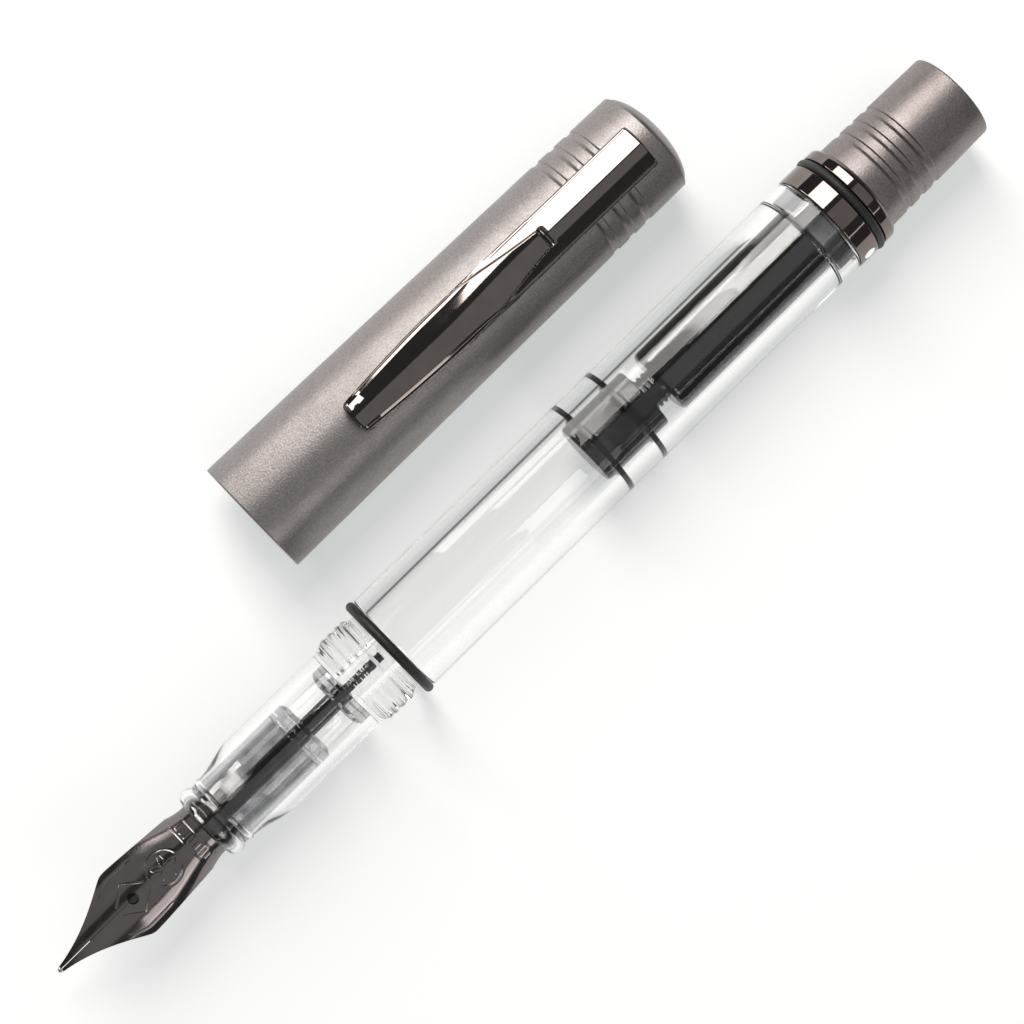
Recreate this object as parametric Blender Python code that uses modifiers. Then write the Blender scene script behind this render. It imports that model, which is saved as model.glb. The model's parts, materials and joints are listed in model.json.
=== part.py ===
"""Piston-filling demonstrator fountain pen with its screw cap lying beside it.

World frame: +X runs along the pen from the nib to the piston knob, +Y points to the cap,
+Z is up.  The origin is at the bottom centre of the whole object, on the surface that it
lies on.  Everything is in metres.  Pen parts are placed by their station, the distance from
the nib's tip; cap parts by their distance from the cap's mouth.
"""
import math

import bmesh
import bpy
from mathutils import Vector

MM = 0.001

# ---------------------------------------------------------------- driving dimensions: pen
PEN_LENGTH = 136.9 * MM
SECTION_START = 21.9 * MM       # front face of the clear grip section
THREAD_START = 44.4 * MM
THREAD_PITCH = 1.04 * MM
THREAD_TURNS = 4
SHOULDER = 50.6 * MM            # where the grip section steps up to the barrel
RESERVOIR_START = 50.3 * MM
COUNTERBORE_START = 113.35 * MM
RING_START = 116.3 * MM         # polished ring behind the barrel
RING_END = 121.7 * MM
KNOB_START = 121.9 * MM

LIP_RADIUS = 4.55 * MM
LIP_WALL = 0.65 * MM
LIP_BEAD = 1.15 * MM            # radius of the rounded front bead
SMALL_BEAD = 0.42 * MM          # radius of the second bead
SMALL_BEAD_STATION = SECTION_START + 3.0 * MM
NECK_START = SECTION_START + 3.7 * MM
NECK_DIP = 0.3 * MM             # how far the neck lies below the lip
FLARE_END = NECK_START + 4.6 * MM
SECTION_RADIUS = 5.18 * MM
THREAD_RADIUS = 5.77 * MM
BARREL_RADIUS = 6.30 * MM
RESERVOIR_RADIUS = 4.31 * MM
COUNTERBORE_RADIUS = 5.50 * MM
INK_BORE_RADIUS = 1.70 * MM
RING_RADIUS = 6.44 * MM
KNOB_FRONT_RADIUS = 5.73 * MM
KNOB_END_RADIUS = 5.47 * MM

O_RING_CORD = 0.56 * MM         # half the thickness of the rubber
O_RING_RADIUS = 6.60 * MM       # outer radius; the pen lies on these two rings
FRONT_O_RING = 49.9 * MM
REAR_O_RING = 119.5 * MM

PISTON_FRONT = 79.64 * MM
PISTON_REAR = 88.80 * MM
PISTON_RADIUS = 3.84 * MM
SEAL_LIP_RADIUS = 4.27 * MM
SEAL_LIP_HALF_WIDTH = 0.32 * MM
SLEEVE_FRONT = 90.9 * MM
SLEEVE_REAR = 127.5 * MM
SLEEVE_RADIUS = 4.06 * MM
COLLAR_CORNER_RADIUS = 5.38 * MM  # of the eight-sided wrench collar
COLLAR_TURN = math.radians(27)  # of the corner nearest the top, towards +Y
COLLAR_START = COUNTERBORE_START + 0.3 * MM
HUB_RADIUS = 2.13 * MM
HUB_REAR = PISTON_REAR + 1.7 * MM
ROD_RADIUS = 1.90 * MM
ROD_REAR = 121.5 * MM
SCREW_RADIUS = 1.15 * MM
ROD_BORE = SCREW_RADIUS + 0.12 * MM

KNOB_BORE = SLEEVE_RADIUS + 0.3 * MM
KNOB_GROOVES = 3
KNOB_GROOVE_START = 124.1 * MM
KNOB_GROOVE_PITCH = 2.06 * MM
KNOB_GROOVE_WIDTH = 1.0 * MM
GROOVE_DEPTH = 0.2 * MM
WASHER_END = SLEEVE_REAR + 0.4 * MM
SCREW_HEAD_END = WASHER_END + 1.5 * MM
SCREW_STUB_RADIUS = 2.0 * MM
SCREW_STUB_END = SCREW_HEAD_END + 1.8 * MM

DOT_RADIUS = 0.72 * MM
DOT_DEPTH = 0.5 * MM
DOT_ANGLE = math.radians(70.6)  # from the top of the ring towards -Y

NIB_START = 0.55 * MM
NIB_TAIL = 24.8 * MM
NIB_THICKNESS = 0.35 * MM
NIB_CURVE = 3.40 * MM           # radius that the nib's tail is rolled to
NIB_FLATTER = 2.7 * MM          # how much larger that radius is at the shoulder
NIB_SHOULDER = 11.0 * MM
NIB_SHOULDER_HALF_WIDTH = 4.33 * MM
NIB_TIP_HEIGHT = 1.2 * MM       # above the pen's axis
NIB_FALL_POWER = 1.6            # how late the nib bends down towards its tip
BREATHER_STATION = 11.5 * MM
BREATHER_RADIUS = 0.62 * MM
SLIT_WIDTH = 0.08 * MM
TIPPING_RADIUS = 0.36 * MM
TIPPING_REAR = 0.17 * MM        # how far the tipping reaches back over the tines

FEED_FRONT = 4.9 * MM
FEED_HALF_WIDTH = 2.6 * MM
FEED_GAP = 0.15 * MM            # between the nib's underside and the feed
FEED_NECK_RADIUS = 1.15 * MM
FEED_TAIL_RADIUS = 0.58 * MM
FEED_TAIL_END = 47.9 * MM
HOUSING_START = SECTION_START + 0.1 * MM
HOUSING_SLEEVE_END = 35.9 * MM
HOUSING_GAP = 0.25 * MM         # groove between the sleeve and its first flange
HOUSING_FLANGE = 1.3 * MM
HOUSING_SLEEVE_WALL = 0.5 * MM
HOUSING_NECK_RADIUS = 3.1 * MM
HOUSING_NECK_WALL = 0.22 * MM
HOUSING_REAR = 43.3 * MM

# ---------------------------------------------------------------- driving dimensions: cap
CAP_LENGTH = 59.8 * MM          # mouth to rim, without the domed crown
CAP_MOUTH_RADIUS = 7.15 * MM
CAP_RIM_RADIUS = 6.45 * MM
CROWN_HEIGHT = 1.85 * MM
CAP_MOUTH_STATION = 49.06 * MM   # how far behind the nib's tip the mouth lies
CAP_SPACING = 20.5 * MM         # from the pen's axis to the centre of the mouth
CAP_YAW = math.radians(-0.45)
CAP_ROLL = math.radians(3.5)    # turns the clip a little towards the pen
CAP_MOUTH_BORE = 6.66 * MM
CAP_SEAT_BORE = 6.30 * MM       # where the threaded insert is pressed in
CAP_BORE = 5.98 * MM
CAP_SEAT_START = 3.2 * MM
CAP_SEAT_END = 10.0 * MM
CAP_GROOVES = 3
CAP_GROOVE_START = 48.6 * MM
CAP_GROOVE_PITCH = 2.43 * MM
CAP_GROOVE_WIDTH = 1.1 * MM
INNER_CAP_RADIUS = 5.88 * MM
INNER_CAP_BORE = 5.45 * MM
INNER_CAP_END = 53.5 * MM
CROWN_SEAT = CAP_LENGTH - 1.0 * MM
CROWN_RADIUS = CAP_RIM_RADIUS - 0.3 * MM
CROWN_STEM_START = CROWN_SEAT - 0.6 * MM
CROWN_SCREW_RADIUS = 1.1 * MM
CROWN_SCREW_HEAD_RADIUS = 2.4 * MM
CROWN_SCREW_START = INNER_CAP_END - 2.2 * MM
CROWN_SCREW_END = CAP_LENGTH - 0.2 * MM

CLIP_TOP = 58.1 * MM
CLIP_STEP = 43.6 * MM
CLIP_TIP = 14.85 * MM
CLIP_BAR_WIDTH = 5.5 * MM
CLIP_WIDEST = 5.6 * MM
CLIP_TIP_WIDTH = 4.0 * MM
CLIP_LIFT = 0.35 * MM           # gap under the bar
CLIP_ARCH = 0.6 * MM            # how far the underside rises between its ends
CLIP_LIP = 0.8 * MM             # how far the tip turns up
CLIP_LIP_END = CLIP_TIP + 2.6 * MM
CLIP_THICKNESS = 1.0 * MM
CLIP_BLADE_RISE = 0.55 * MM     # the blade stands this much above the bar
CLIP_BLADE_THINNING = 0.45 * MM
CLIP_TANG_LENGTH = 1.5 * MM
CLIP_TANG_DEPTH = 2.6 * MM
SLOT_LENGTH = 2.3 * MM
SLOT_WIDTH = CLIP_BAR_WIDTH + 0.5 * MM

# ---------------------------------------------------------------- worked out from the above
CAP_TILT = math.atan((CAP_MOUTH_RADIUS - CAP_RIM_RADIUS) / CAP_LENGTH)
PEN_Y = -(CAP_SPACING + CAP_MOUTH_RADIUS - O_RING_RADIUS) / 2
PEN_ORIGIN = Vector((-PEN_LENGTH / 2, PEN_Y, O_RING_RADIUS))
CAP_ORIGIN = Vector((PEN_ORIGIN.x + CAP_MOUTH_STATION, PEN_Y + CAP_SPACING,
                     CAP_MOUTH_RADIUS * math.cos(CAP_TILT)))
CLIP_PIVOT = Vector((CLIP_TOP - 0.8 * MM, 0, CAP_RIM_RADIUS))

FIT_GAP = 0.05 * MM             # between pieces that are pressed or glued together
SMALL_CHAMFER = 0.2 * MM
ROUND_STEPS = 32                # sides of a turned part
FINE_STEPS = 24                 # sides of a thin turned part


# ---------------------------------------------------------------- scene, materials, helpers
def clear_scene():
    for old in list(bpy.data.objects):
        bpy.data.objects.remove(old, do_unlink=True)


def new_collection(name):
    collection = bpy.data.collections.new(name)
    bpy.context.scene.collection.children.link(collection)
    return collection


def new_material(name, color, roughness, metallic=0.0, transmission=0.0):
    material = bpy.data.materials.new(name)
    material.use_nodes = True
    shader = material.node_tree.nodes["Principled BSDF"]
    shader.inputs["Base Color"].default_value = (*color, 1.0)
    shader.inputs["Roughness"].default_value = roughness
    shader.inputs["Metallic"].default_value = metallic
    shader.inputs["Transmission Weight"].default_value = transmission
    return material


def new_empty(name, location, rotation=(0, 0, 0), parent=None):
    empty = bpy.data.objects.new(name, None)
    empty.location = location
    empty.rotation_euler = rotation
    empty.parent = parent
    PARTS.objects.link(empty)
    return empty


def finish(item, material, parent):
    """Give a new object its material and its parent empty, and shade it smooth."""
    item.data.materials.clear()
    item.data.materials.append(material)
    item.parent = parent
    item.data.shade_smooth()
    item.data.set_sharp_from_angle(angle=math.radians(30))
    return item


def mesh_object(name, verts, edges, faces, material, parent):
    mesh = bpy.data.meshes.new(name)
    mesh.from_pydata([tuple(v) for v in verts], edges, faces)
    item = bpy.data.objects.new(name, mesh)
    PARTS.objects.link(item)
    return finish(item, material, parent)


def arc(center, radius, start, end, count):
    """Points (station, radius) on a round stretch; angles in degrees, 90 points outwards."""
    points = []
    for i in range(count + 1):
        angle = math.radians(start + (end - start) * i / count)
        points.append((center[0] + radius * math.cos(angle), center[1] + radius * math.sin(angle)))
    return points


def turned(name, outline, material, parent, steps=ROUND_STEPS, closed=True):
    """Turn an outline of (station, radius) points about the parent's X axis.

    A closed outline makes a ring or tube.  An open one starts and ends on the axis.
    """
    area = sum(a[0] * b[1] - b[0] * a[1] for a, b in zip(outline, outline[1:] + outline[:1]))
    points = outline if area < 0 else outline[::-1]
    verts = [(radius, 0, station) for station, radius in reversed(points)]
    edges = [(i, i + 1) for i in range(len(verts) - 1)]
    if closed:
        edges.append((len(verts) - 1, 0))
    item = mesh_object(name, verts, edges, [], material, parent)
    item.rotation_euler = (0, math.pi / 2, 0)
    screw = item.modifiers.new("Turn", "SCREW")
    screw.axis = "Z"
    screw.steps = steps
    screw.render_steps = steps
    screw.use_merge_vertices = True
    screw.merge_threshold = 0.005 * MM
    return item


def lofted(name, sections, material, parent):
    """Skin equal-length rings of points, one after another, and close both ends."""
    count = len(sections[0])
    verts = [point for section in sections for point in section]
    faces = []
    for row in range(len(sections) - 1):
        for i in range(count):
            j = (i + 1) % count
            faces.append((row * count + i, row * count + j, (row + 1) * count + j, (row + 1) * count + i))
    faces.append(tuple(reversed(range(count))))
    faces.append(tuple(range((len(sections) - 1) * count, len(sections) * count)))
    item = mesh_object(name, verts, [], faces, material, parent)
    shape = bmesh.new()
    shape.from_mesh(item.data)
    bmesh.ops.recalc_face_normals(shape, faces=shape.faces)
    shape.to_mesh(item.data)
    shape.free()
    return item


def as_cutter(name, mesh, parent):
    """An object that is only used to cut or join another one."""
    item = bpy.data.objects.new(name, mesh)
    item.parent = parent
    item.hide_render = True
    item.display_type = "WIRE"
    CUTTERS.objects.link(item)
    return item


def box_cutter(name, size, location, parent):
    shape = bmesh.new()
    bmesh.ops.create_cube(shape, size=1.0)
    bmesh.ops.scale(shape, vec=size, verts=shape.verts)
    mesh = bpy.data.meshes.new(name)
    shape.to_mesh(mesh)
    shape.free()
    item = as_cutter(name, mesh, parent)
    item.location = location
    return item


def disc_mesh(name, radius, depth):
    """A short round rod that stands on its origin along +Z."""
    shape = bmesh.new()
    bmesh.ops.create_cone(shape, cap_ends=True, segments=16, radius1=radius, radius2=radius, depth=2 * depth)
    bmesh.ops.translate(shape, vec=(0, 0, depth), verts=shape.verts)
    mesh = bpy.data.meshes.new(name)
    shape.to_mesh(mesh)
    shape.free()
    return mesh


def combine(target, tool, operation):
    boolean = target.modifiers.new(tool.name, "BOOLEAN")
    boolean.operation = operation
    boolean.solver = "EXACT"
    boolean.object = tool
    return boolean


def ease(value, low, high):
    """A smooth 0 to 1 ramp between two values."""
    t = min(1.0, max(0.0, (value - low) / (high - low)))
    return t * t * (3 - 2 * t)


# ---------------------------------------------------------------- clear barrel and section
def section_front():
    """Rounded bead, small second bead and the flare up to the grip."""
    neck_radius = LIP_RADIUS - NECK_DIP
    bead = arc((SECTION_START + LIP_BEAD, LIP_RADIUS - LIP_BEAD), LIP_BEAD, 155, 45, 7)
    ridge = arc((SMALL_BEAD_STATION, neck_radius + 0.12 * MM - SMALL_BEAD), SMALL_BEAD, 140, 40, 4)
    steps = 5
    flare = []
    for i in range(steps + 1):
        station = NECK_START + (FLARE_END - NECK_START) * i / steps
        share = ease(station, NECK_START - 0.6 * MM, FLARE_END)
        flare.append((station, neck_radius + (SECTION_RADIUS - neck_radius) * share))
    return bead + ridge + flare


def cap_threads():
    """Blunt ridges at the thread's pitch; each share is a part of one pitch."""
    profile = ((0.0, SECTION_RADIUS), (0.32, THREAD_RADIUS), (0.58, THREAD_RADIUS), (0.90, SECTION_RADIUS))
    points = []
    for turn in range(THREAD_TURNS):
        for share, radius in profile:
            points.append((THREAD_START + (turn + share) * THREAD_PITCH, radius))
    return points


def build_barrel():
    rear = RING_START - FIT_GAP
    grip_bore = LIP_RADIUS - LIP_WALL
    outer = section_front() + cap_threads()
    outer += [(SHOULDER, SECTION_RADIUS), (SHOULDER, BARREL_RADIUS - SMALL_CHAMFER)]
    outer += [(SHOULDER + SMALL_CHAMFER, BARREL_RADIUS), (rear, BARREL_RADIUS)]
    bore = [(rear, COUNTERBORE_RADIUS), (COUNTERBORE_START, COUNTERBORE_RADIUS)]
    bore += [(COUNTERBORE_START, RESERVOIR_RADIUS), (RESERVOIR_START, RESERVOIR_RADIUS)]
    bore += [(RESERVOIR_START, INK_BORE_RADIUS), (HOUSING_REAR + FIT_GAP, INK_BORE_RADIUS)]
    bore += [(HOUSING_REAR + FIT_GAP, grip_bore), (SECTION_START, grip_bore)]
    return turned("barrel", outer + bore, CLEAR, PEN)


# ---------------------------------------------------------------- nib, feed and housing
def nib_half_width(station):
    """Tines that flare faster and faster, a rounded shoulder, then a gently narrowing tail."""
    tip_half_width = 0.30 * MM
    slope = 0.115
    flare = 0.0271 / MM
    taper = 0.070
    rounding = 0.35 * MM
    tines = tip_half_width + slope * station + flare * station ** 2
    tail = NIB_SHOULDER_HALF_WIDTH - taper * (station - NIB_SHOULDER)
    return (tines + tail - math.hypot(tines - tail, rounding)) / 2


def nib_curve_radius(station):
    return NIB_CURVE + NIB_FLATTER * (1 - ease(station, NIB_SHOULDER + 2 * MM, NIB_TAIL - 3 * MM))


def nib_crest(station):
    """Height of the nib's centre line above the pen's axis."""
    fall = max(0.0, (NIB_SHOULDER - station) / NIB_SHOULDER)
    return NIB_CURVE - (NIB_CURVE - NIB_TIP_HEIGHT) * fall ** NIB_FALL_POWER


def build_nib():
    """Rolled blade with its breather hole and the slit from there to the tip."""
    rows = 18
    columns = 10
    steepest = 0.97
    sections = []
    for row in range(rows + 1):
        station = NIB_START + (NIB_TAIL - NIB_START) * row / rows
        radius = nib_curve_radius(station)
        spread = math.asin(min(steepest, nib_half_width(station) / radius))
        ring = []
        for inner in (0, 1):
            for i in range(columns + 1):
                share = i / columns if inner == 0 else 1 - i / columns
                angle = spread * (2 * share - 1)
                reach = radius - inner * NIB_THICKNESS
                height = nib_crest(station) - radius + reach * math.cos(angle)
                ring.append((station, reach * math.sin(angle), height))
        sections.append(ring)
    nib = lofted("nib", sections, DARK_PLATE, PEN)
    reach = 8 * MM
    hole = as_cutter("breather_hole", disc_mesh("breather_hole", BREATHER_RADIUS, reach / 2), PEN)
    hole.location = (BREATHER_STATION, 0, NIB_CURVE - reach / 2)
    slit_size = (BREATHER_STATION + 2 * NIB_START, SLIT_WIDTH, reach)
    slit = box_cutter("nib_slit", slit_size, (0.5 * BREATHER_STATION - NIB_START, 0, NIB_TIP_HEIGHT), PEN)
    combine(nib, hole, "DIFFERENCE")
    combine(nib, slit, "DIFFERENCE")
    return nib


def build_nib_tipping():
    bpy.ops.mesh.primitive_uv_sphere_add(segments=12, ring_count=8, radius=TIPPING_RADIUS)
    ball = bpy.context.object
    ball.name = "nib_tipping"
    ball.data.name = ball.name
    ball.users_collection[0].objects.unlink(ball)
    PARTS.objects.link(ball)
    ball.location = (TIPPING_RADIUS, 0, NIB_TIP_HEIGHT - NIB_THICKNESS - 0.1 * MM)
    for vertex in ball.data.vertices:
        if vertex.co.x > 0:
            vertex.co.x *= TIPPING_REAR / TIPPING_RADIUS
    return finish(ball, POLISHED_STEEL, PEN)


def build_feed():
    """Ink feed: a rounded wedge under the nib, then a neck and a thin tail."""
    wedge_end = NIB_TAIL - 0.1 * MM
    thin = 0.9 * MM
    thick = 5.6 * MM
    sections = []
    rows = 8
    for row in range(rows + 1):
        station = FEED_FRONT + (wedge_end - FEED_FRONT) * row / rows
        top = nib_crest(station) - NIB_THICKNESS - FEED_GAP
        depth = thin + (thick - thin) * ease(station, FEED_FRONT - 6 * MM, FEED_FRONT + 13 * MM)
        half = min(FEED_HALF_WIDTH, 0.62 * nib_half_width(station))
        sections.append(oval_section(station, top, depth, half))
    sections += [round_section(wedge_end + 0.1 * MM, FEED_NECK_RADIUS)]
    sections += [round_section(HOUSING_REAR, FEED_NECK_RADIUS)]
    sections += [round_section(HOUSING_REAR + 0.1 * MM, FEED_TAIL_RADIUS)]
    sections += [round_section(FEED_TAIL_END, FEED_TAIL_RADIUS)]
    return lofted("feed", sections, BLACK_PLASTIC, PEN)


def oval_section(station, top, depth, half):
    """Points round an oval whose highest point is at the given height."""
    count = 16
    ring = []
    for i in range(count):
        angle = 2 * math.pi * i / count
        ring.append((station, half * math.sin(angle), top - depth / 2 + depth / 2 * math.cos(angle)))
    return ring


def round_section(station, radius):
    return oval_section(station, radius, 2 * radius, radius)


def build_nib_housing():
    """Thin-walled sleeve that holds the nib and feed, and a thin neck between two flanges."""
    tube_radius = LIP_RADIUS - LIP_WALL - FIT_GAP
    neck_radius = HOUSING_NECK_RADIUS
    rim_radius = neck_radius + SMALL_CHAMFER
    flange = HOUSING_SLEEVE_END + HOUSING_GAP
    rim = flange + HOUSING_FLANGE
    rear_rim = HOUSING_REAR - 1.35 * HOUSING_FLANGE
    rear_wall = HOUSING_REAR - HOUSING_SLEEVE_WALL
    sleeve_bore = tube_radius - HOUSING_SLEEVE_WALL
    neck_bore = neck_radius - HOUSING_NECK_WALL
    feed_bore = FEED_NECK_RADIUS + FIT_GAP
    nib_seat = NIB_CURVE + 0.08 * MM
    seat_end = NIB_TAIL + 0.2 * MM
    outer = [(HOUSING_START, tube_radius), (HOUSING_SLEEVE_END, tube_radius)]
    outer += [(HOUSING_SLEEVE_END, neck_radius), (flange, neck_radius), (flange, tube_radius)]
    outer += [(rim - 0.3 * MM, tube_radius), (rim, rim_radius), (rim, neck_radius), (rear_rim, neck_radius)]
    outer += [(rear_rim, rim_radius), (rear_rim + 0.3 * MM, tube_radius), (HOUSING_REAR, tube_radius)]
    inner = [(HOUSING_REAR, feed_bore), (rear_wall, feed_bore), (rear_wall, neck_bore)]
    inner += [(HOUSING_SLEEVE_END - HOUSING_SLEEVE_WALL, neck_bore)]
    inner += [(HOUSING_SLEEVE_END - HOUSING_SLEEVE_WALL, sleeve_bore), (seat_end, sleeve_bore)]
    inner += [(seat_end, nib_seat), (HOUSING_START, nib_seat)]
    return turned("nib_housing", outer + inner, SMOKED_PLASTIC, PEN, FINE_STEPS)


# ---------------------------------------------------------------- rings
def build_o_ring(name, station):
    bpy.ops.mesh.primitive_torus_add(
        major_segments=ROUND_STEPS, minor_segments=8,
        major_radius=O_RING_RADIUS - O_RING_CORD, minor_radius=O_RING_CORD)
    ring = bpy.context.object
    ring.name = name
    ring.data.name = name
    ring.users_collection[0].objects.unlink(ring)
    PARTS.objects.link(ring)
    ring.rotation_euler = (0, math.pi / 2, 0)
    ring.location = (station, 0, 0)
    return finish(ring, BLACK_RUBBER, PEN)


def build_trim_ring():
    groove_half = O_RING_CORD + 0.03 * MM
    groove_radius = O_RING_RADIUS - 2 * O_RING_CORD - FIT_GAP
    bore = SLEEVE_RADIUS + 0.12 * MM
    edge = 0.12 * MM
    rear_bevel = 0.3 * MM
    outer = [(RING_START, RING_RADIUS - edge), (RING_START + edge, RING_RADIUS)]
    outer += [(REAR_O_RING - groove_half, RING_RADIUS), (REAR_O_RING - groove_half, groove_radius)]
    outer += [(REAR_O_RING + groove_half, groove_radius), (REAR_O_RING + groove_half, RING_RADIUS)]
    outer += [(RING_END - rear_bevel, RING_RADIUS), (RING_END, RING_RADIUS - 2 * rear_bevel)]
    ring = turned("trim_ring", outer + [(RING_END, bore), (RING_START, bore)], GUNMETAL_POLISHED, PEN)
    pocket = as_cutter("dot_pocket", disc_mesh("dot_pocket", DOT_RADIUS + FIT_GAP, DOT_DEPTH), DOT)
    pocket.location = (0, 0, -DOT_DEPTH - FIT_GAP)
    combine(ring, pocket, "DIFFERENCE")
    return ring


def build_index_dot():
    dot = bpy.data.objects.new("index_dot", disc_mesh("index_dot", DOT_RADIUS, DOT_DEPTH / 2))
    dot.location = (0, 0, -DOT_DEPTH)
    PARTS.objects.link(dot)
    return finish(dot, WHITE_ENAMEL, DOT)


# ---------------------------------------------------------------- piston
def build_piston_seal():
    """Hollow seal with two lips, open at the back for the hub."""
    round_edge = 0.5 * MM
    bore_front = PISTON_FRONT + 2.9 * MM
    outer = [(PISTON_FRONT, 0), (PISTON_FRONT, PISTON_RADIUS - round_edge)]
    outer += arc((PISTON_FRONT + round_edge, PISTON_RADIUS - round_edge), round_edge, 150, 90, 2)
    for lip in (PISTON_FRONT + 1.5 * MM, PISTON_REAR - 2.5 * MM):
        contact_start = lip - SEAL_LIP_HALF_WIDTH
        contact_end = lip + SEAL_LIP_HALF_WIDTH
        outer += [(contact_start - 0.3 * MM, PISTON_RADIUS), (contact_start, SEAL_LIP_RADIUS)]
        outer += [(contact_end, SEAL_LIP_RADIUS), (contact_end + 0.2 * MM, PISTON_RADIUS)]
    outer += [(PISTON_REAR - SMALL_CHAMFER, PISTON_RADIUS), (PISTON_REAR, PISTON_RADIUS - SMALL_CHAMFER)]
    inner = [(PISTON_REAR, HUB_RADIUS + FIT_GAP), (bore_front, HUB_RADIUS + FIT_GAP), (bore_front, 0)]
    return turned("piston_seal", outer + inner, SMOKED_PLASTIC, PEN, closed=False)


def build_piston_hub():
    """Stub that the seal is pushed on, with a groove behind the seal."""
    front = PISTON_FRONT + 3.0 * MM
    groove_start = PISTON_REAR + 0.5 * MM
    groove_end = PISTON_REAR + 0.9 * MM
    groove_radius = HUB_RADIUS - 0.3 * MM
    outer = [(front, 0), (front, HUB_RADIUS), (groove_start, HUB_RADIUS), (groove_start, groove_radius)]
    outer += [(groove_end, groove_radius), (groove_end, HUB_RADIUS), (HUB_REAR, HUB_RADIUS), (HUB_REAR, 0)]
    return turned("piston_hub", outer, BLACK_PLASTIC, PEN, FINE_STEPS, closed=False)


def build_piston_rod():
    """Hollow rod that slides in the sleeve and is driven by the screw inside it."""
    front = HUB_REAR + FIT_GAP
    bore_front = front + 1.5 * MM
    outer = [(front, 0), (front, ROD_RADIUS), (ROD_REAR, ROD_RADIUS)]
    inner = [(ROD_REAR, ROD_BORE), (bore_front, ROD_BORE), (bore_front, 0)]
    return turned("piston_rod", outer + inner, BLACK_PLASTIC, PEN, FINE_STEPS, closed=False)


def build_piston_sleeve():
    """Guide sleeve with an eight-sided wrench collar that seats in the barrel."""
    nose = 0.6 * MM
    bore = SLEEVE_RADIUS - 0.7 * MM
    nose_wall = SLEEVE_FRONT + 1.5 * MM
    rod_hole = ROD_RADIUS + 0.1 * MM
    outer = [(SLEEVE_FRONT, rod_hole)]
    outer += arc((SLEEVE_FRONT + nose, SLEEVE_RADIUS - nose), nose, 180, 90, 3)
    outer += [(SLEEVE_REAR, SLEEVE_RADIUS)]
    inner = [(SLEEVE_REAR, bore), (nose_wall, bore), (nose_wall, rod_hole)]
    sleeve = turned("piston_sleeve", outer + inner, BLACK_PLASTIC, PEN)
    collar_rear = RING_START - FIT_GAP
    collar_bore = bore + 0.3 * MM
    outline = [(COLLAR_START, collar_bore), (COLLAR_START, COLLAR_CORNER_RADIUS - SMALL_CHAMFER)]
    outline += [(COLLAR_START + SMALL_CHAMFER, COLLAR_CORNER_RADIUS), (collar_rear, COLLAR_CORNER_RADIUS)]
    outline += [(collar_rear, collar_bore)]
    collar = turned("wrench_collar", outline, BLACK_PLASTIC, PEN, steps=8)
    collar.rotation_mode = "ZYX"
    collar.rotation_euler = (-COLLAR_TURN, math.pi / 2, 0)
    PARTS.objects.unlink(collar)
    CUTTERS.objects.link(collar)
    collar.hide_render = True
    collar.display_type = "WIRE"
    combine(sleeve, collar, "UNION")
    return sleeve


# ---------------------------------------------------------------- knob and drive screw
def grooved_taper(start, start_radius, end, end_radius, grooves, first, pitch, width):
    """Outer line of a tapered part with shallow grooves: a long near slope and a short far one."""
    def radius_at(station):
        return start_radius + (end_radius - start_radius) * (station - start) / (end - start)

    points = [(start, start_radius)]
    for i in range(grooves):
        left = first + i * pitch
        right = left + width
        points.append((left, radius_at(left)))
        points.append((left + 0.3 * width, radius_at(left) - GROOVE_DEPTH))
        points.append((right - 0.15 * width, radius_at(right) - GROOVE_DEPTH))
        points.append((right, radius_at(right)))
    return points + [(end, end_radius)]


def build_knob():
    chamfer = 0.3 * MM
    outer = [(KNOB_START, KNOB_FRONT_RADIUS - SMALL_CHAMFER)]
    outer += grooved_taper(KNOB_START + SMALL_CHAMFER, KNOB_FRONT_RADIUS,
                           PEN_LENGTH - chamfer, KNOB_END_RADIUS,
                           KNOB_GROOVES, KNOB_GROOVE_START, KNOB_GROOVE_PITCH, KNOB_GROOVE_WIDTH)
    outer += [(PEN_LENGTH, KNOB_END_RADIUS - chamfer), (PEN_LENGTH, 0)]
    bore_end = SCREW_HEAD_END + FIT_GAP
    pocket_end = SCREW_STUB_END + FIT_GAP
    pocket_radius = SCREW_STUB_RADIUS + FIT_GAP
    bore = [(pocket_end, 0), (pocket_end, pocket_radius), (bore_end, pocket_radius)]
    bore += [(bore_end, KNOB_BORE), (KNOB_START, KNOB_BORE)]
    return turned("knob", bore + outer, GUNMETAL, KNOB, closed=False)


def build_drive_screw():
    """Screw that turns with the knob and pushes the piston rod."""
    front = HUB_REAR + 2.6 * MM
    outer = [(front, 0), (front, SCREW_RADIUS), (WASHER_END + FIT_GAP, SCREW_RADIUS)]
    outer += [(WASHER_END + FIT_GAP, KNOB_BORE - FIT_GAP), (SCREW_HEAD_END, KNOB_BORE - FIT_GAP)]
    outer += [(SCREW_HEAD_END, SCREW_STUB_RADIUS), (SCREW_STUB_END, SCREW_STUB_RADIUS), (SCREW_STUB_END, 0)]
    return turned("drive_screw", outer, POLISHED_STEEL, KNOB, FINE_STEPS, closed=False)


def build_thrust_washer():
    start = SLEEVE_REAR + FIT_GAP
    hole = SCREW_RADIUS + 0.2 * MM
    outline = [(start, SLEEVE_RADIUS), (WASHER_END, SLEEVE_RADIUS), (WASHER_END, hole), (start, hole)]
    return turned("thrust_washer", outline, WHITE_PLASTIC, PEN, FINE_STEPS)


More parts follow.
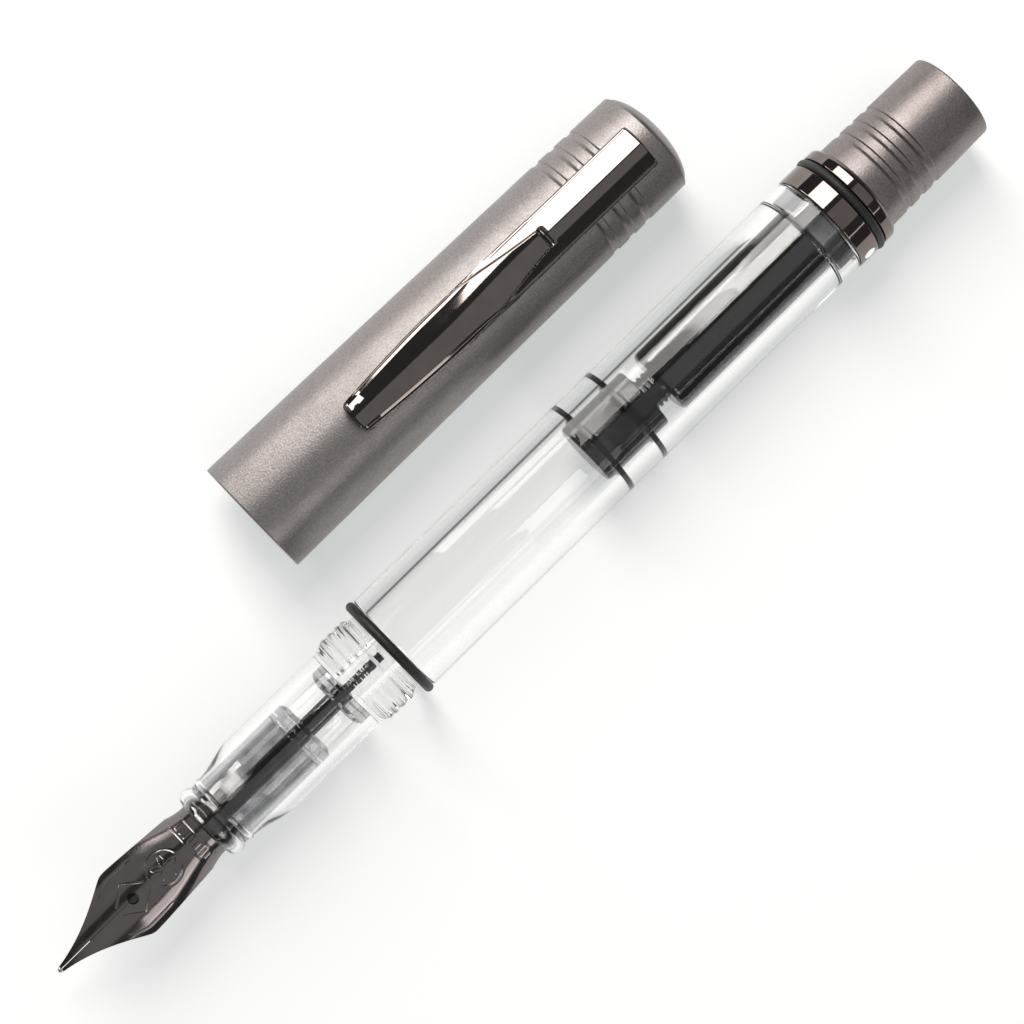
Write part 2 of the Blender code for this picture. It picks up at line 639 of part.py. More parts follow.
# ---------------------------------------------------------------- cap
def build_cap_tube():
    rim_edge = 0.15 * MM
    outer = grooved_taper(0, CAP_MOUTH_RADIUS, CAP_LENGTH - rim_edge, CAP_RIM_RADIUS,
                          CAP_GROOVES, CAP_GROOVE_START, CAP_GROOVE_PITCH, CAP_GROOVE_WIDTH)
    seat = CROWN_RADIUS + FIT_GAP
    outer += [(CAP_LENGTH, CAP_RIM_RADIUS - rim_edge), (CAP_LENGTH, seat), (CROWN_SEAT, seat)]
    bore = [(CROWN_SEAT, CAP_BORE), (CAP_SEAT_END, CAP_BORE), (CAP_SEAT_END, CAP_SEAT_BORE)]
    bore += [(CAP_SEAT_START, CAP_SEAT_BORE), (CAP_SEAT_START, CAP_MOUTH_BORE), (0, CAP_MOUTH_BORE)]
    tube = turned("cap_tube", outer + bore, GUNMETAL, CAP)
    slot_center = (CLIP_TOP + 0.25 * MM - SLOT_LENGTH / 2, 0, CAP_RIM_RADIUS)
    slot = box_cutter("clip_slot", (SLOT_LENGTH, SLOT_WIDTH, 4 * MM), slot_center, CAP)
    combine(tube, slot, "DIFFERENCE")
    return tube


def build_cap_crown():
    """Domed end of the cap on a short stem, bored for the screw that holds it."""
    flange = CROWN_SEAT + FIT_GAP
    stem = CAP_BORE - FIT_GAP
    screw_hole = CROWN_SCREW_RADIUS + FIT_GAP
    hole_end = CROWN_SCREW_END + 0.2 * MM
    dome = []
    rings = 6
    for i in range(rings + 1):
        radius = CROWN_RADIUS * i / rings
        dome.append((CAP_LENGTH + CROWN_HEIGHT * (1 - (radius / CROWN_RADIUS) ** 2), radius))
    outline = dome + [(flange, CROWN_RADIUS), (flange, stem), (CROWN_STEM_START, stem)]
    outline += [(CROWN_STEM_START, screw_hole), (hole_end, screw_hole), (hole_end, 0)]
    return turned("cap_crown", outline, GUNMETAL, CAP, closed=False)


def build_crown_screw():
    """Screw through the end of the inner cap into the crown."""
    head_end = CROWN_SCREW_START + 1.1 * MM
    outline = [(CROWN_SCREW_START, 0), (CROWN_SCREW_START, CROWN_SCREW_HEAD_RADIUS)]
    outline += [(head_end, CROWN_SCREW_HEAD_RADIUS), (head_end, CROWN_SCREW_RADIUS)]
    outline += [(CROWN_SCREW_END, CROWN_SCREW_RADIUS), (CROWN_SCREW_END, 0)]
    return turned("crown_screw", outline, POLISHED_STEEL, CAP, FINE_STEPS, closed=False)


def build_inner_cap():
    start = CAP_SEAT_END + 0.2 * MM
    end_wall = INNER_CAP_END - 1.0 * MM
    hole = CROWN_SCREW_RADIUS + 0.12 * MM
    outline = [(start, INNER_CAP_RADIUS), (INNER_CAP_END, INNER_CAP_RADIUS), (INNER_CAP_END, hole)]
    outline += [(end_wall, hole), (end_wall, INNER_CAP_BORE), (start, INNER_CAP_BORE)]
    return turned("inner_cap", outline, BLACK_PLASTIC, CAP)


def build_cap_thread_insert():
    """Pressed-in bush with the female thread for the barrel."""
    start = CAP_SEAT_START + 0.1 * MM
    end = CAP_SEAT_END - 0.1 * MM
    radius = CAP_SEAT_BORE - 0.1 * MM
    root = THREAD_RADIUS + 0.1 * MM
    crest = THREAD_RADIUS - 0.35 * MM
    profile = ((0.8, root), (0.5, crest), (0.3, crest), (0.0, root))
    first_turn = 0.7
    inner = [(end, root)]
    for turn in reversed(range(THREAD_TURNS)):
        for share, height in profile:
            inner.append((start + (first_turn + turn + share) * THREAD_PITCH, height))
    inner.append((start, root))
    return turned("cap_thread_insert", [(start, radius), (end, radius)] + inner, BLACK_PLASTIC, CAP)


# ---------------------------------------------------------------- clip
def cap_radius(station):
    return CAP_MOUTH_RADIUS + (CAP_RIM_RADIUS - CAP_MOUTH_RADIUS) * station / CAP_LENGTH


def clip_half_width(station):
    if station > CLIP_STEP:
        return CLIP_BAR_WIDTH / 2
    widening = 0.55 * (CLIP_STEP - CLIP_TIP)
    belly = math.sin(math.pi / 2 * min(1.0, (station - CLIP_TIP) / widening))
    return CLIP_TIP_WIDTH / 2 + (CLIP_WIDEST - CLIP_TIP_WIDTH) / 2 * belly


def clip_underside(station):
    """Height of the flat underside above the cap's axis; it dips to the cap behind the tip."""
    arch = math.sin(math.pi * (station - CLIP_TIP) / (CLIP_TOP - CLIP_TIP))
    lip = 1 - ease(station, CLIP_TIP, CLIP_LIP_END)
    return cap_radius(station) + CLIP_LIFT + CLIP_ARCH * arch + CLIP_LIP * lip


def clip_top(station):
    """Height of the ridge: a low bar, then a raised blade that thins towards the tip."""
    before_step = CLIP_STEP - station
    blade = CLIP_BLADE_RISE * ease(before_step, -0.4 * MM, 1.2 * MM)
    thinning = CLIP_BLADE_THINNING * ease(before_step, 4 * MM, CLIP_STEP - CLIP_TIP)
    return clip_underside(station) + CLIP_THICKNESS + blade - thinning


def clip_section(station):
    half = clip_half_width(station)
    under = clip_underside(station)
    top = clip_top(station)
    edge = under + 0.45 * (top - under)
    shoulder = 0.86 * half
    shoulder_height = edge + 0.25 * MM
    return [(station, -half, under), (station, half, under), (station, half, edge),
            (station, shoulder, shoulder_height), (station, 0.0, top),
            (station, -shoulder, shoulder_height), (station, -half, edge)]


def build_clip():
    """Spring clip: blade and bar in one, with a tang that goes through the slot."""
    stations = [CLIP_TIP + offset * MM for offset in (0, 0.7, 1.4, 2.6, 6, 10, 14, 18, 22, 26)]
    stations += [CLIP_STEP - 0.7 * MM, CLIP_STEP, CLIP_STEP + 0.4 * MM, CLIP_STEP + 6 * MM, CLIP_TOP]
    sections = [clip_section(station) for station in stations]
    clip = lofted("clip", sections, BLACK_NICKEL, CLIP)
    tang_top = clip_underside(CLIP_TOP) + 0.4 * MM
    tang_size = (CLIP_TANG_LENGTH, CLIP_BAR_WIDTH - 0.2 * MM, CLIP_TANG_DEPTH)
    tang_center = (CLIP_TOP - 0.1 * MM - CLIP_TANG_LENGTH / 2, 0, tang_top - CLIP_TANG_DEPTH / 2)
    tang = box_cutter("clip_tang", tang_size, tang_center, CAP)
    combine(clip, tang, "UNION")
    clip.location = -CLIP_PIVOT
    return clip


# ---------------------------------------------------------------- build
clear_scene()
PARTS = new_collection("fountain_pen")
CUTTERS = new_collection("cutters")

CLEAR = new_material("clear_acrylic", (0.95, 0.96, 0.96), 0.03, transmission=1.0)
GUNMETAL = new_material("satin_gunmetal", (0.30, 0.27, 0.265), 0.42, metallic=1.0)
GUNMETAL_POLISHED = new_material("polished_gunmetal", (0.30, 0.26, 0.25), 0.08, metallic=1.0)
BLACK_NICKEL = new_material("black_nickel", (0.16, 0.14, 0.135), 0.07, metallic=1.0)
DARK_PLATE = new_material("dark_plated_steel", (0.10, 0.09, 0.09), 0.18, metallic=1.0)
POLISHED_STEEL = new_material("polished_steel", (0.75, 0.74, 0.72), 0.15, metallic=1.0)
BLACK_PLASTIC = new_material("black_plastic", (0.02, 0.02, 0.02), 0.25)
SMOKED_PLASTIC = new_material("smoked_plastic", (0.06, 0.06, 0.06), 0.20)
WHITE_PLASTIC = new_material("white_plastic", (0.80, 0.80, 0.78), 0.40)
WHITE_ENAMEL = new_material("white_enamel", (0.85, 0.88, 0.88), 0.15)
BLACK_RUBBER = new_material("black_rubber", (0.02, 0.02, 0.02), 0.55)

PEN = new_empty("pen_axis", PEN_ORIGIN)
KNOB = new_empty("knob_axis", (0, 0, 0), parent=PEN)
CAP = new_empty("cap_axis", CAP_ORIGIN, rotation=(CAP_ROLL, CAP_TILT, CAP_YAW))
CLIP = new_empty("clip_pivot", CLIP_PIVOT, parent=CAP)
DOT_STATION = (RING_START + REAR_O_RING - O_RING_CORD) / 2
DOT = new_empty("dot_place", (DOT_STATION, -(RING_RADIUS - 0.03 * MM) * math.sin(DOT_ANGLE),
                              (RING_RADIUS - 0.03 * MM) * math.cos(DOT_ANGLE)),
                rotation=(DOT_ANGLE, 0, 0), parent=PEN)

build_barrel()
build_nib()
build_nib_tipping()
build_feed()
build_nib_housing()
build_o_ring("front_o_ring", FRONT_O_RING)
build_o_ring("rear_o_ring", REAR_O_RING)
build_trim_ring()
build_index_dot()
build_piston_seal()
build_piston_hub()
build_piston_rod()
build_piston_sleeve()
build_thrust_washer()
build_knob()
build_drive_screw()
build_cap_tube()
build_cap_crown()
build_crown_screw()
build_inner_cap()
build_cap_thread_insert()
build_clip()
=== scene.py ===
"""Looks of the piston-filling fountain pen and its cap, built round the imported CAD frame.

All places come from the frame.  Pen pieces are made in pen space, where X is the station
behind the nib's tip and Z points up from the pen's axis; cap pieces in cap space, where X is
the distance from the cap's mouth and Z points up through the clip.
"""
import json
import math

import bmesh
import bpy
from mathutils import Matrix, Vector


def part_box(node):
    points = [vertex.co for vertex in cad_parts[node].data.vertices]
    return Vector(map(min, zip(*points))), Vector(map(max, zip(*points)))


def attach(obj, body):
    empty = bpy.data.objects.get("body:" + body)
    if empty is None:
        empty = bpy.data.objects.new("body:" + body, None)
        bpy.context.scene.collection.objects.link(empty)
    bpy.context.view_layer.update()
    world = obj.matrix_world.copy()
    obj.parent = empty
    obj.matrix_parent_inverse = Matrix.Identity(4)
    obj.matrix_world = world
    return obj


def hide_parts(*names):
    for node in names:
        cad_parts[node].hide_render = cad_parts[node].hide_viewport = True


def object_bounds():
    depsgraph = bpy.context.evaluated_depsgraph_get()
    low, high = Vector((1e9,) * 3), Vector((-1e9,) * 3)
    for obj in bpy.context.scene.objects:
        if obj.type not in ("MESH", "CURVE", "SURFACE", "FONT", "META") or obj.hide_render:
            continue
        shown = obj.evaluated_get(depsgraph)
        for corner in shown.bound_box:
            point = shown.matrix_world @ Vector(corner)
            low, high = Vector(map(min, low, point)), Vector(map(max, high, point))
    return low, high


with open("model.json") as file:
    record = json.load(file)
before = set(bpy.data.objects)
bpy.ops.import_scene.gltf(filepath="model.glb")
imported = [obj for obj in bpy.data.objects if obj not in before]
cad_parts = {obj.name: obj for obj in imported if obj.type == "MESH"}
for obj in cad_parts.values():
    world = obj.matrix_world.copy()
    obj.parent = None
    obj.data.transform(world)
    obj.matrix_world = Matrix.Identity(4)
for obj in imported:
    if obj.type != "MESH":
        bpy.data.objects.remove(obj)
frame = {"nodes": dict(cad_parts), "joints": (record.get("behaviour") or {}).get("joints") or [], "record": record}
cad_low, cad_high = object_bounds()

MM = 0.001
TAU = 2 * math.pi
FIT = 0.03 * MM                 # gap between pieces pressed together
SIDES = 160                     # sides of a turned piece
CURL = 8                        # steps in a quarter turn of a rounded corner


# ------------------------------------------------------------------ places from the frame
def middle(node):
    low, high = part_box(node)
    return (low + high) / 2


def joint(name):
    return next(j for j in frame["joints"] if j["name"] == name)


def mount(name):
    return next(m for m in frame["record"]["mounts"] if m["name"] == name)


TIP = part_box("nib_tipping")[0].x
PEN_SPACE = Matrix.Translation((TIP, middle("front_o_ring").y, middle("front_o_ring").z))

CAP_AXIS = Vector(joint("cap_turn")["axis"]).normalized()
CAP_SIDE = Vector(joint("clip_flex")["axis"]).normalized()
CAP_UP = CAP_AXIS.cross(CAP_SIDE).normalized()
ON_CAP_AXIS = Vector(joint("cap_turn")["pos_m"])
MOUTH = ON_CAP_AXIS + CAP_AXIS * (Vector(mount("cap_mouth_rim")["pos_m"]) - ON_CAP_AXIS).dot(CAP_AXIS)
CAP_SPACE = Matrix((
    (CAP_AXIS.x, CAP_SIDE.x, CAP_UP.x, MOUTH.x),
    (CAP_AXIS.y, CAP_SIDE.y, CAP_UP.y, MOUTH.y),
    (CAP_AXIS.z, CAP_SIDE.z, CAP_UP.z, MOUTH.z),
    (0, 0, 0, 1)))


def pen_start(node):
    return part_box(node)[0].x - TIP


def pen_end(node):
    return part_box(node)[1].x - TIP


def pen_radius(node):
    low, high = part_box(node)
    return (high.y - low.y) / 2


SECTION_START = pen_start("barrel")
BARREL_END = pen_end("barrel")
BARREL_RADIUS = pen_radius("barrel")
O_RING_RADIUS = pen_radius("front_o_ring")
O_RING_CORD = (pen_end("front_o_ring") - pen_start("front_o_ring")) / 2
FRONT_O_RING = middle("front_o_ring").x - TIP
REAR_O_RING = middle("rear_o_ring").x - TIP
SHOULDER = FRONT_O_RING + O_RING_CORD + 0.04 * MM
THREAD_START = SHOULDER - 6.2 * MM
THREAD_PITCH = 1.04 * MM
THREAD_TURNS = 4
THREAD_ROOT = 5.56 * MM
THREAD_DEPTH = 0.14 * MM
SECTION_RADIUS = 5.18 * MM
LIP_RADIUS = 4.55 * MM
LIP_BEAD = 1.15 * MM            # radius of the rounded front bead
SMALL_BEAD = 0.42 * MM          # radius of the second bead
GRIP_BORE = LIP_RADIUS - 0.65 * MM
HOUSING_START = pen_start("nib_housing")
HOUSING_END = pen_end("nib_housing")
INK_BORE = 1.70 * MM
RESERVOIR_START = 50.3 * MM
RESERVOIR_RADIUS = 4.31 * MM
COUNTERBORE_START = 113.35 * MM
COUNTERBORE_RADIUS = 5.50 * MM
RING_START = pen_start("trim_ring")
RING_END = pen_end("trim_ring")
RING_RADIUS = pen_radius("trim_ring")
KNOB_START = pen_start("knob")
KNOB_END = pen_end("knob")
CAP_LENGTH = 59.8 * MM
CAP_MOUTH_RADIUS = 7.13 * MM
CAP_RIM_RADIUS = 6.45 * MM
LINER_RADIUS = 5.88 * MM        # outside of the inner cap
INSERT_SEAT = (3.2 * MM, 10.0 * MM)     # recess for the threaded insert, from the mouth
INSERT_BORE = 5.87 * MM


# ------------------------------------------------------------------ outlines
def rounded(corners, steps=CURL):
    """Replace each (station, radius, rounding) corner by a short curve."""
    points = []
    count = len(corners)
    for i, corner in enumerate(corners):
        here = Vector(corner[:2])
        rounding = corner[2] if len(corner) > 2 else 0.0
        before = Vector(corners[i - 1][:2]) - here
        after = Vector(corners[(i + 1) % count][:2]) - here
        reach = min(rounding, 0.48 * before.length, 0.48 * after.length)
        if reach < 0.002 * MM:
            points.append((here.x, here.y))
            continue
        first = here + before.normalized() * reach
        last = here + after.normalized() * reach
        for k in range(steps + 1):
            t = k / steps
            point = first * (1 - t) ** 2 + here * 2 * t * (1 - t) + last * t ** 2
            points.append((point.x, point.y))
    return points


def arc(center, radius, start, end, count):
    """Points on a round stretch; angles in degrees, 90 points outwards."""
    points = []
    for i in range(count + 1):
        angle = math.radians(start + (end - start) * i / count)
        points.append((center[0] + radius * math.cos(angle), center[1] + radius * math.sin(angle)))
    return points


def ease(value, low, high):
    t = min(1.0, max(0.0, (value - low) / (high - low)))
    return t * t * (3 - 2 * t)


# ------------------------------------------------------------------ meshes
def add_piece(name, mesh, material, body, nodes=(), sharp=32):
    """Put a finished mesh in the scene, attach it to its body and hide the frame parts it replaces."""
    piece = bpy.data.objects.new(name, mesh)
    bpy.context.scene.collection.objects.link(piece)
    mesh.materials.append(material)
    mesh.shade_smooth()
    mesh.set_sharp_from_angle(angle=math.radians(sharp))
    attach(piece, body)
    if nodes:
        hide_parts(*nodes)
    return piece


def close_mesh(name, shape, space):
    """Turn a bmesh into a mesh in the row frame, with its faces pointing out."""
    bmesh.ops.remove_doubles(shape, verts=shape.verts, dist=0.0005 * MM)
    bmesh.ops.recalc_face_normals(shape, faces=shape.faces)
    mesh = bpy.data.meshes.new(name)
    shape.to_mesh(mesh)
    shape.free()
    mesh.transform(space)
    return mesh


def lathe(name, outline, space, closed=True, sides=SIDES, wobble=None):
    """Turn (station, radius) points about X.  wobble(station, radius, angle) may move a radius."""
    shape = bmesh.new()
    rows = []
    for station, radius in outline:
        if radius < 1e-7:
            rows.append([shape.verts.new((station, 0, 0))] * sides)
            continue
        row = []
        for side in range(sides):
            angle = TAU * side / sides
            reach = wobble(station, radius, angle) if wobble else radius
            row.append(shape.verts.new((station, reach * math.sin(angle), reach * math.cos(angle))))
        rows.append(row)
    pairs = list(zip(rows, rows[1:]))
    if closed:
        pairs.append((rows[-1], rows[0]))
    for near, far in pairs:
        for side in range(sides):
            after = (side + 1) % sides
            corners = []
            for vert in (near[side], near[after], far[after], far[side]):
                if vert not in corners:
                    corners.append(vert)
            if len(corners) > 2:
                shape.faces.new(corners)
    return close_mesh(name, shape, space)


def skin(name, sections, space):
    """Join equal rings of points and close both ends."""
    shape = bmesh.new()
    rows = [[shape.verts.new(point) for point in section] for section in sections]
    count = len(rows[0])
    for near, far in zip(rows, rows[1:]):
        for i in range(count):
            j = (i + 1) % count
            shape.faces.new((near[i], near[j], far[j], far[i]))
    shape.faces.new(rows[0])
    shape.faces.new(rows[-1])
    return close_mesh(name, shape, space)


def oval(station, top, depth, half):
    """Ring of points across X, given its top, its depth and its half-width."""
    ring = []
    for i in range(64):
        angle = TAU * i / 64
        ring.append((station, half * math.sin(angle), top - depth / 2 + depth / 2 * math.cos(angle)))
    return ring


def circle(station, radius):
    """Round section on the X axis."""
    return oval(station, radius, 2 * radius, radius)


def block(name, stations, half_width, heights, space):
    """Plain box, used to join or cut."""
    shape = bmesh.new()
    bmesh.ops.create_cube(shape, size=1.0)
    size = (stations[1] - stations[0], 2 * half_width, heights[1] - heights[0])
    bmesh.ops.scale(shape, vec=size, verts=shape.verts)
    place = (sum(stations) / 2, 0, sum(heights) / 2)
    bmesh.ops.translate(shape, vec=place, verts=shape.verts)
    return close_mesh(name, shape, space)


def cut(piece, tool_mesh, operation="DIFFERENCE"):
    """Cut or join a piece with a tool mesh."""
    tool = bpy.data.objects.new(tool_mesh.name, tool_mesh)
    bpy.context.scene.collection.objects.link(tool)
    boolean = piece.modifiers.new(tool_mesh.name, "BOOLEAN")
    boolean.object = tool
    boolean.operation = operation
    boolean.solver = "EXACT"
    bpy.context.view_layer.update()
    made = bpy.data.meshes.new_from_object(piece.evaluated_get(bpy.context.evaluated_depsgraph_get()))
    piece.modifiers.remove(boolean)
    piece.data = made
    bpy.data.objects.remove(tool)


# ------------------------------------------------------------------ materials
def start_material(name, color, roughness, metallic=0.0):
    """New material with its node tree and its main shader."""
    material = bpy.data.materials.new(name)
    material.use_nodes = True
    shader = material.node_tree.nodes["Principled BSDF"]
    shader.inputs["Base Color"].default_value = (*color, 1.0)
    shader.inputs["Roughness"].default_value = roughness
    shader.inputs["Metallic"].default_value = metallic
    return material, material.node_tree, shader


def noise(tree, scale, detail=3.0, stretch=(1, 1, 1)):
    """Noise over the piece's own coordinates; scale is features per metre."""
    place = tree.nodes.new("ShaderNodeTexCoord")
    mapping = tree.nodes.new("ShaderNodeMapping")
    mapping.inputs["Scale"].default_value = stretch
    texture = tree.nodes.new("ShaderNodeTexNoise")
    texture.inputs["Scale"].default_value = scale
    texture.inputs["Detail"].default_value = detail
    tree.links.new(place.outputs["Object"], mapping.inputs["Vector"])
    tree.links.new(mapping.outputs["Vector"], texture.inputs["Vector"])
    return texture.outputs["Fac"]


def spread(tree, value, low, high, near=0.35, far=0.65):
    """Stretch a noise value to a range."""
    node = tree.nodes.new("ShaderNodeMapRange")
    node.inputs["From Min"].default_value = near
    node.inputs["From Max"].default_value = far
    node.inputs["To Min"].default_value = low
    node.inputs["To Max"].default_value = high
    tree.links.new(value, node.inputs["Value"])
    return node.outputs["Result"]


def tint(tree, shader, value, dark, light):
    """Colour the surface between two shades by a noise value."""
    ramp = tree.nodes.new("ShaderNodeValToRGB")
    ramp.color_ramp.elements[0].position = 0.3
    ramp.color_ramp.elements[0].color = (*dark, 1)
    ramp.color_ramp.elements[1].position = 0.7
    ramp.color_ramp.elements[1].color = (*light, 1)
    tree.links.new(value, ramp.inputs["Fac"])
    tree.links.new(ramp.outputs["Color"], shader.inputs["Base Color"])


def bump(tree, shader, value, height, strength=1.0):
    """Raise the surface by a noise value; height is in metres."""
    node = tree.nodes.new("ShaderNodeBump")
    node.inputs["Strength"].default_value = strength
    node.inputs["Distance"].default_value = height
    tree.links.new(value, node.inputs["Height"])
    tree.links.new(node.outputs["Normal"], shader.inputs["Normal"])


def shade(color, factor):
    """A colour made darker or lighter."""
    return tuple(min(1.0, channel * factor) for channel in color)


def satin_metal(name, color):
    """Bead-blasted anodised metal with a fine grain."""
    material, tree, shader = start_material(name, color, 0.4, 1.0)
    grain = noise(tree, 5000, 3.0)
    patches = noise(tree, 350, 3.0)
    tint(tree, shader, grain, shade(color, 0.80), shade(color, 1.22))
    tree.links.new(spread(tree, patches, 0.38, 0.44), shader.inputs["Roughness"])
    bump(tree, shader, grain, 0.03 * MM)
    return material


def mirror_metal(name, color, roughness):
    """Polished plating with faint haze and hairline scratches."""
    material, tree, shader = start_material(name, color, roughness, 1.0)
    haze = noise(tree, 500, 4.0)
    hairlines = noise(tree, 3000, 2.0, stretch=(0.12, 1, 1))
    tint(tree, shader, haze, shade(color, 0.94), shade(color, 1.06))
    tree.links.new(spread(tree, haze, 0.8 * roughness, 1.3 * roughness), shader.inputs["Roughness"])
    bump(tree, shader, hairlines, 0.0006 * MM, 0.5)
    return material


def glossy_plastic(name, color, roughness, transmission=0.0, refraction=1.5):
    """Moulded plastic with faint flow marks."""
    material, tree, shader = start_material(name, color, roughness)
    shader.inputs["Transmission Weight"].default_value = transmission
    shader.inputs["IOR"].default_value = refraction
    flow = noise(tree, 700, 3.0)
    tint(tree, shader, flow, shade(color, 0.8), shade(color, 1.25))
    tree.links.new(spread(tree, flow, 0.8 * roughness, 1.3 * roughness), shader.inputs["Roughness"])
    bump(tree, shader, noise(tree, 2500, 2.0), 0.001 * MM, 0.4)
    return material


def clear_acrylic():
    """Polished acrylic, seen through, with hardly any wear."""
    material, tree, shader = start_material("clear_acrylic", (0.995, 0.997, 0.996), 0.0)
    shader.inputs["Transmission Weight"].default_value = 1.0
    shader.inputs["IOR"].default_value = 1.49
    shader.inputs["Specular Tint"].default_value = (0.6, 0.6, 0.6, 1)
    wear = noise(tree, 900, 4.0)
    tree.links.new(spread(tree, wear, 0.0, 0.010, 0.45, 0.75), shader.inputs["Roughness"])
    bump(tree, shader, wear, 0.0005 * MM, 0.1)
    return material


def matte_rubber():
    """Black rubber with a fine grain."""
    color = (0.018, 0.018, 0.018)
    material, tree, shader = start_material("black_rubber", color, 0.5)
    grain = noise(tree, 5000, 3.0)
    tint(tree, shader, grain, shade(color, 0.7), shade(color, 1.5))
    tree.links.new(spread(tree, grain, 0.42, 0.6), shader.inputs["Roughness"])
    bump(tree, shader, grain, 0.006 * MM)
    return material


def white_enamel():
    """White enamel, lit a little from within so that it looks as bright as in the photo."""
    color = (0.80, 0.86, 0.86)
    material, tree, shader = start_material("white_enamel", color, 0.12)
    flow = noise(tree, 2500, 3.0)
    tint(tree, shader, flow, shade(color, 0.95), shade(color, 1.05))
    bump(tree, shader, flow, 0.004 * MM)
    shader.inputs["Emission Color"].default_value = (*color, 1)
    shader.inputs["Emission Strength"].default_value = 0.5
    return material


CAP_SATIN = satin_metal("satin_gunmetal", (0.300, 0.278, 0.271))
KNOB_SATIN = satin_metal("warm_satin_gunmetal", (0.262, 0.234, 0.228))
POLISHED_RING = mirror_metal("polished_gunmetal", (0.19, 0.160, 0.149), 0.05)
COLLAR_METAL = mirror_metal("bright_collar", (0.42, 0.42, 0.43), 0.10)
NICKEL = mirror_metal("black_nickel", (0.20, 0.178, 0.168), 0.05)
NIB_PLATE = mirror_metal("dark_plated_steel", (0.19, 0.172, 0.170), 0.15)
STEEL = mirror_metal("polished_steel", (0.72, 0.70, 0.68), 0.14)
BLACK = glossy_plastic("black_plastic", (0.006, 0.006, 0.006), 0.07, refraction=1.7)
SMOKED = glossy_plastic("smoked_plastic", (0.52, 0.52, 0.53), 0.04, 1.0)
DARK_SMOKED = glossy_plastic("dark_smoked_plastic", (0.025, 0.025, 0.026), 0.18, 1.0,
                              refraction=1.42)
WHITE_PLASTIC = glossy_plastic("white_plastic", (0.75, 0.75, 0.72), 0.35)
CLEAR = clear_acrylic()
RUBBER = matte_rubber()
ENAMEL = white_enamel()


# ------------------------------------------------------------------ clear barrel and section
def thread_ridge(station, radius, angle):
    """The barrel's cap thread: one soft helix whose ends run out smoothly."""
    last = THREAD_START + THREAD_TURNS * THREAD_PITCH
    if not (THREAD_START - THREAD_PITCH < station < last + THREAD_PITCH) or radius < SECTION_RADIUS - FIT:
        return radius
    phase = ((station - THREAD_START) / THREAD_PITCH - angle / TAU) % 1.0
    crest = 0.5 - 0.5 * math.cos(TAU * phase)
    fade = ease(station, THREAD_START - 0.5 * THREAD_PITCH, THREAD_START + 0.5 * THREAD_PITCH)
    fade *= 1 - ease(station, last - 0.5 * THREAD_PITCH, last + 0.3 * THREAD_PITCH)
    return radius + (THREAD_ROOT - SECTION_RADIUS + THREAD_DEPTH * crest) * fade


def section_outline():
    """Bead at the lip, a second smaller bead and the flare up to the grip."""
    neck_dip = 0.3 * MM
    bead = arc((SECTION_START + LIP_BEAD, LIP_RADIUS - LIP_BEAD), LIP_BEAD, 150, 40, 14)
    ridge = arc((SECTION_START + 3.0 * MM, LIP_RADIUS - 0.6 * MM), SMALL_BEAD, 140, 40, 10)
    neck = SECTION_START + 3.7 * MM
    flare_end = neck + 4.6 * MM
    flare = []
    for i in range(17):
        station = neck + (flare_end - neck) * i / 16
        rise = (SECTION_RADIUS - LIP_RADIUS + neck_dip) * ease(station, neck - 0.6 * MM, flare_end)
        flare.append((station, LIP_RADIUS - neck_dip + rise))
    return bead + ridge + flare


def make_barrel():
    """Barrel and grip section in one, with the stepped bore.

    It casts no shadow, because light that acrylic bends would fill it in anyway.
    """
    per_turn = 16
    thread = []
    for i in range(per_turn * (THREAD_TURNS + 2) + 1):
        turns = i / per_turn - 0.75
        thread.append((THREAD_START + turns * THREAD_PITCH, SECTION_RADIUS))
    outer = section_outline() + thread
    outer += rounded([(SHOULDER, SECTION_RADIUS, 0), (SHOULDER, BARREL_RADIUS, 0.3 * MM),
                      (BARREL_END, BARREL_RADIUS, 0.1 * MM), (BARREL_END, COUNTERBORE_RADIUS, 0)])[:-1]
    step = HOUSING_END + FIT
    bore = rounded([(BARREL_END, COUNTERBORE_RADIUS, 0.15 * MM),
                    (COUNTERBORE_START, COUNTERBORE_RADIUS, 0.2 * MM),
                    (COUNTERBORE_START, RESERVOIR_RADIUS, 0.2 * MM),
                    (RESERVOIR_START, RESERVOIR_RADIUS, 0.3 * MM), (RESERVOIR_START, INK_BORE, 0.1 * MM),
                    (step, INK_BORE, 0), (step, GRIP_BORE, 0.1 * MM), (SECTION_START, GRIP_BORE, 0.2 * MM)])
    mesh = lathe("clear_barrel", outer + bore, PEN_SPACE, wobble=thread_ridge)
    barrel = add_piece("clear_barrel", mesh, CLEAR, "pen_body", ["barrel"], sharp=40)
    barrel.visible_shadow = False
    return barrel


# ------------------------------------------------------------------ nib, feed, housing
NIB_TAIL = pen_end("nib")
NIB_START = pen_start("nib")
NIB_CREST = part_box("nib")[1].z - PEN_SPACE.translation.z
NIB_TIP_HEIGHT = middle("nib_tipping").z - PEN_SPACE.translation.z + 0.45 * MM
NIB_THICKNESS = 0.35 * MM
NIB_SHOULDER = 11.0 * MM
NIB_SHOULDER_HALF = 4.33 * MM
BREATHER = 11.5 * MM
BREATHER_RADIUS = 0.64 * MM
EMBLEM = 16.15 * MM             # middle of the rosette
EMBLEM_RING = 2.0 * MM          # radius of the ring round it
DASHES = 20.3 * MM              # middle of the row of dashes
DASH_PITCH = 0.62 * MM
SLIT_HALF = 0.035 * MM
FEED_NECK = 1.15 * MM


def nib_half_width(station):
    """Tines that flare faster and faster, a rounded shoulder, then a gently narrowing tail."""
    x = station / MM
    tines = 0.30 + 0.115 * x + 0.0271 * x * x
    tail = NIB_SHOULDER_HALF / MM - 0.070 * (x - NIB_SHOULDER / MM)
    rounding = 0.35
    return (tines + tail - math.hypot(tines - tail, rounding)) / 2 * MM


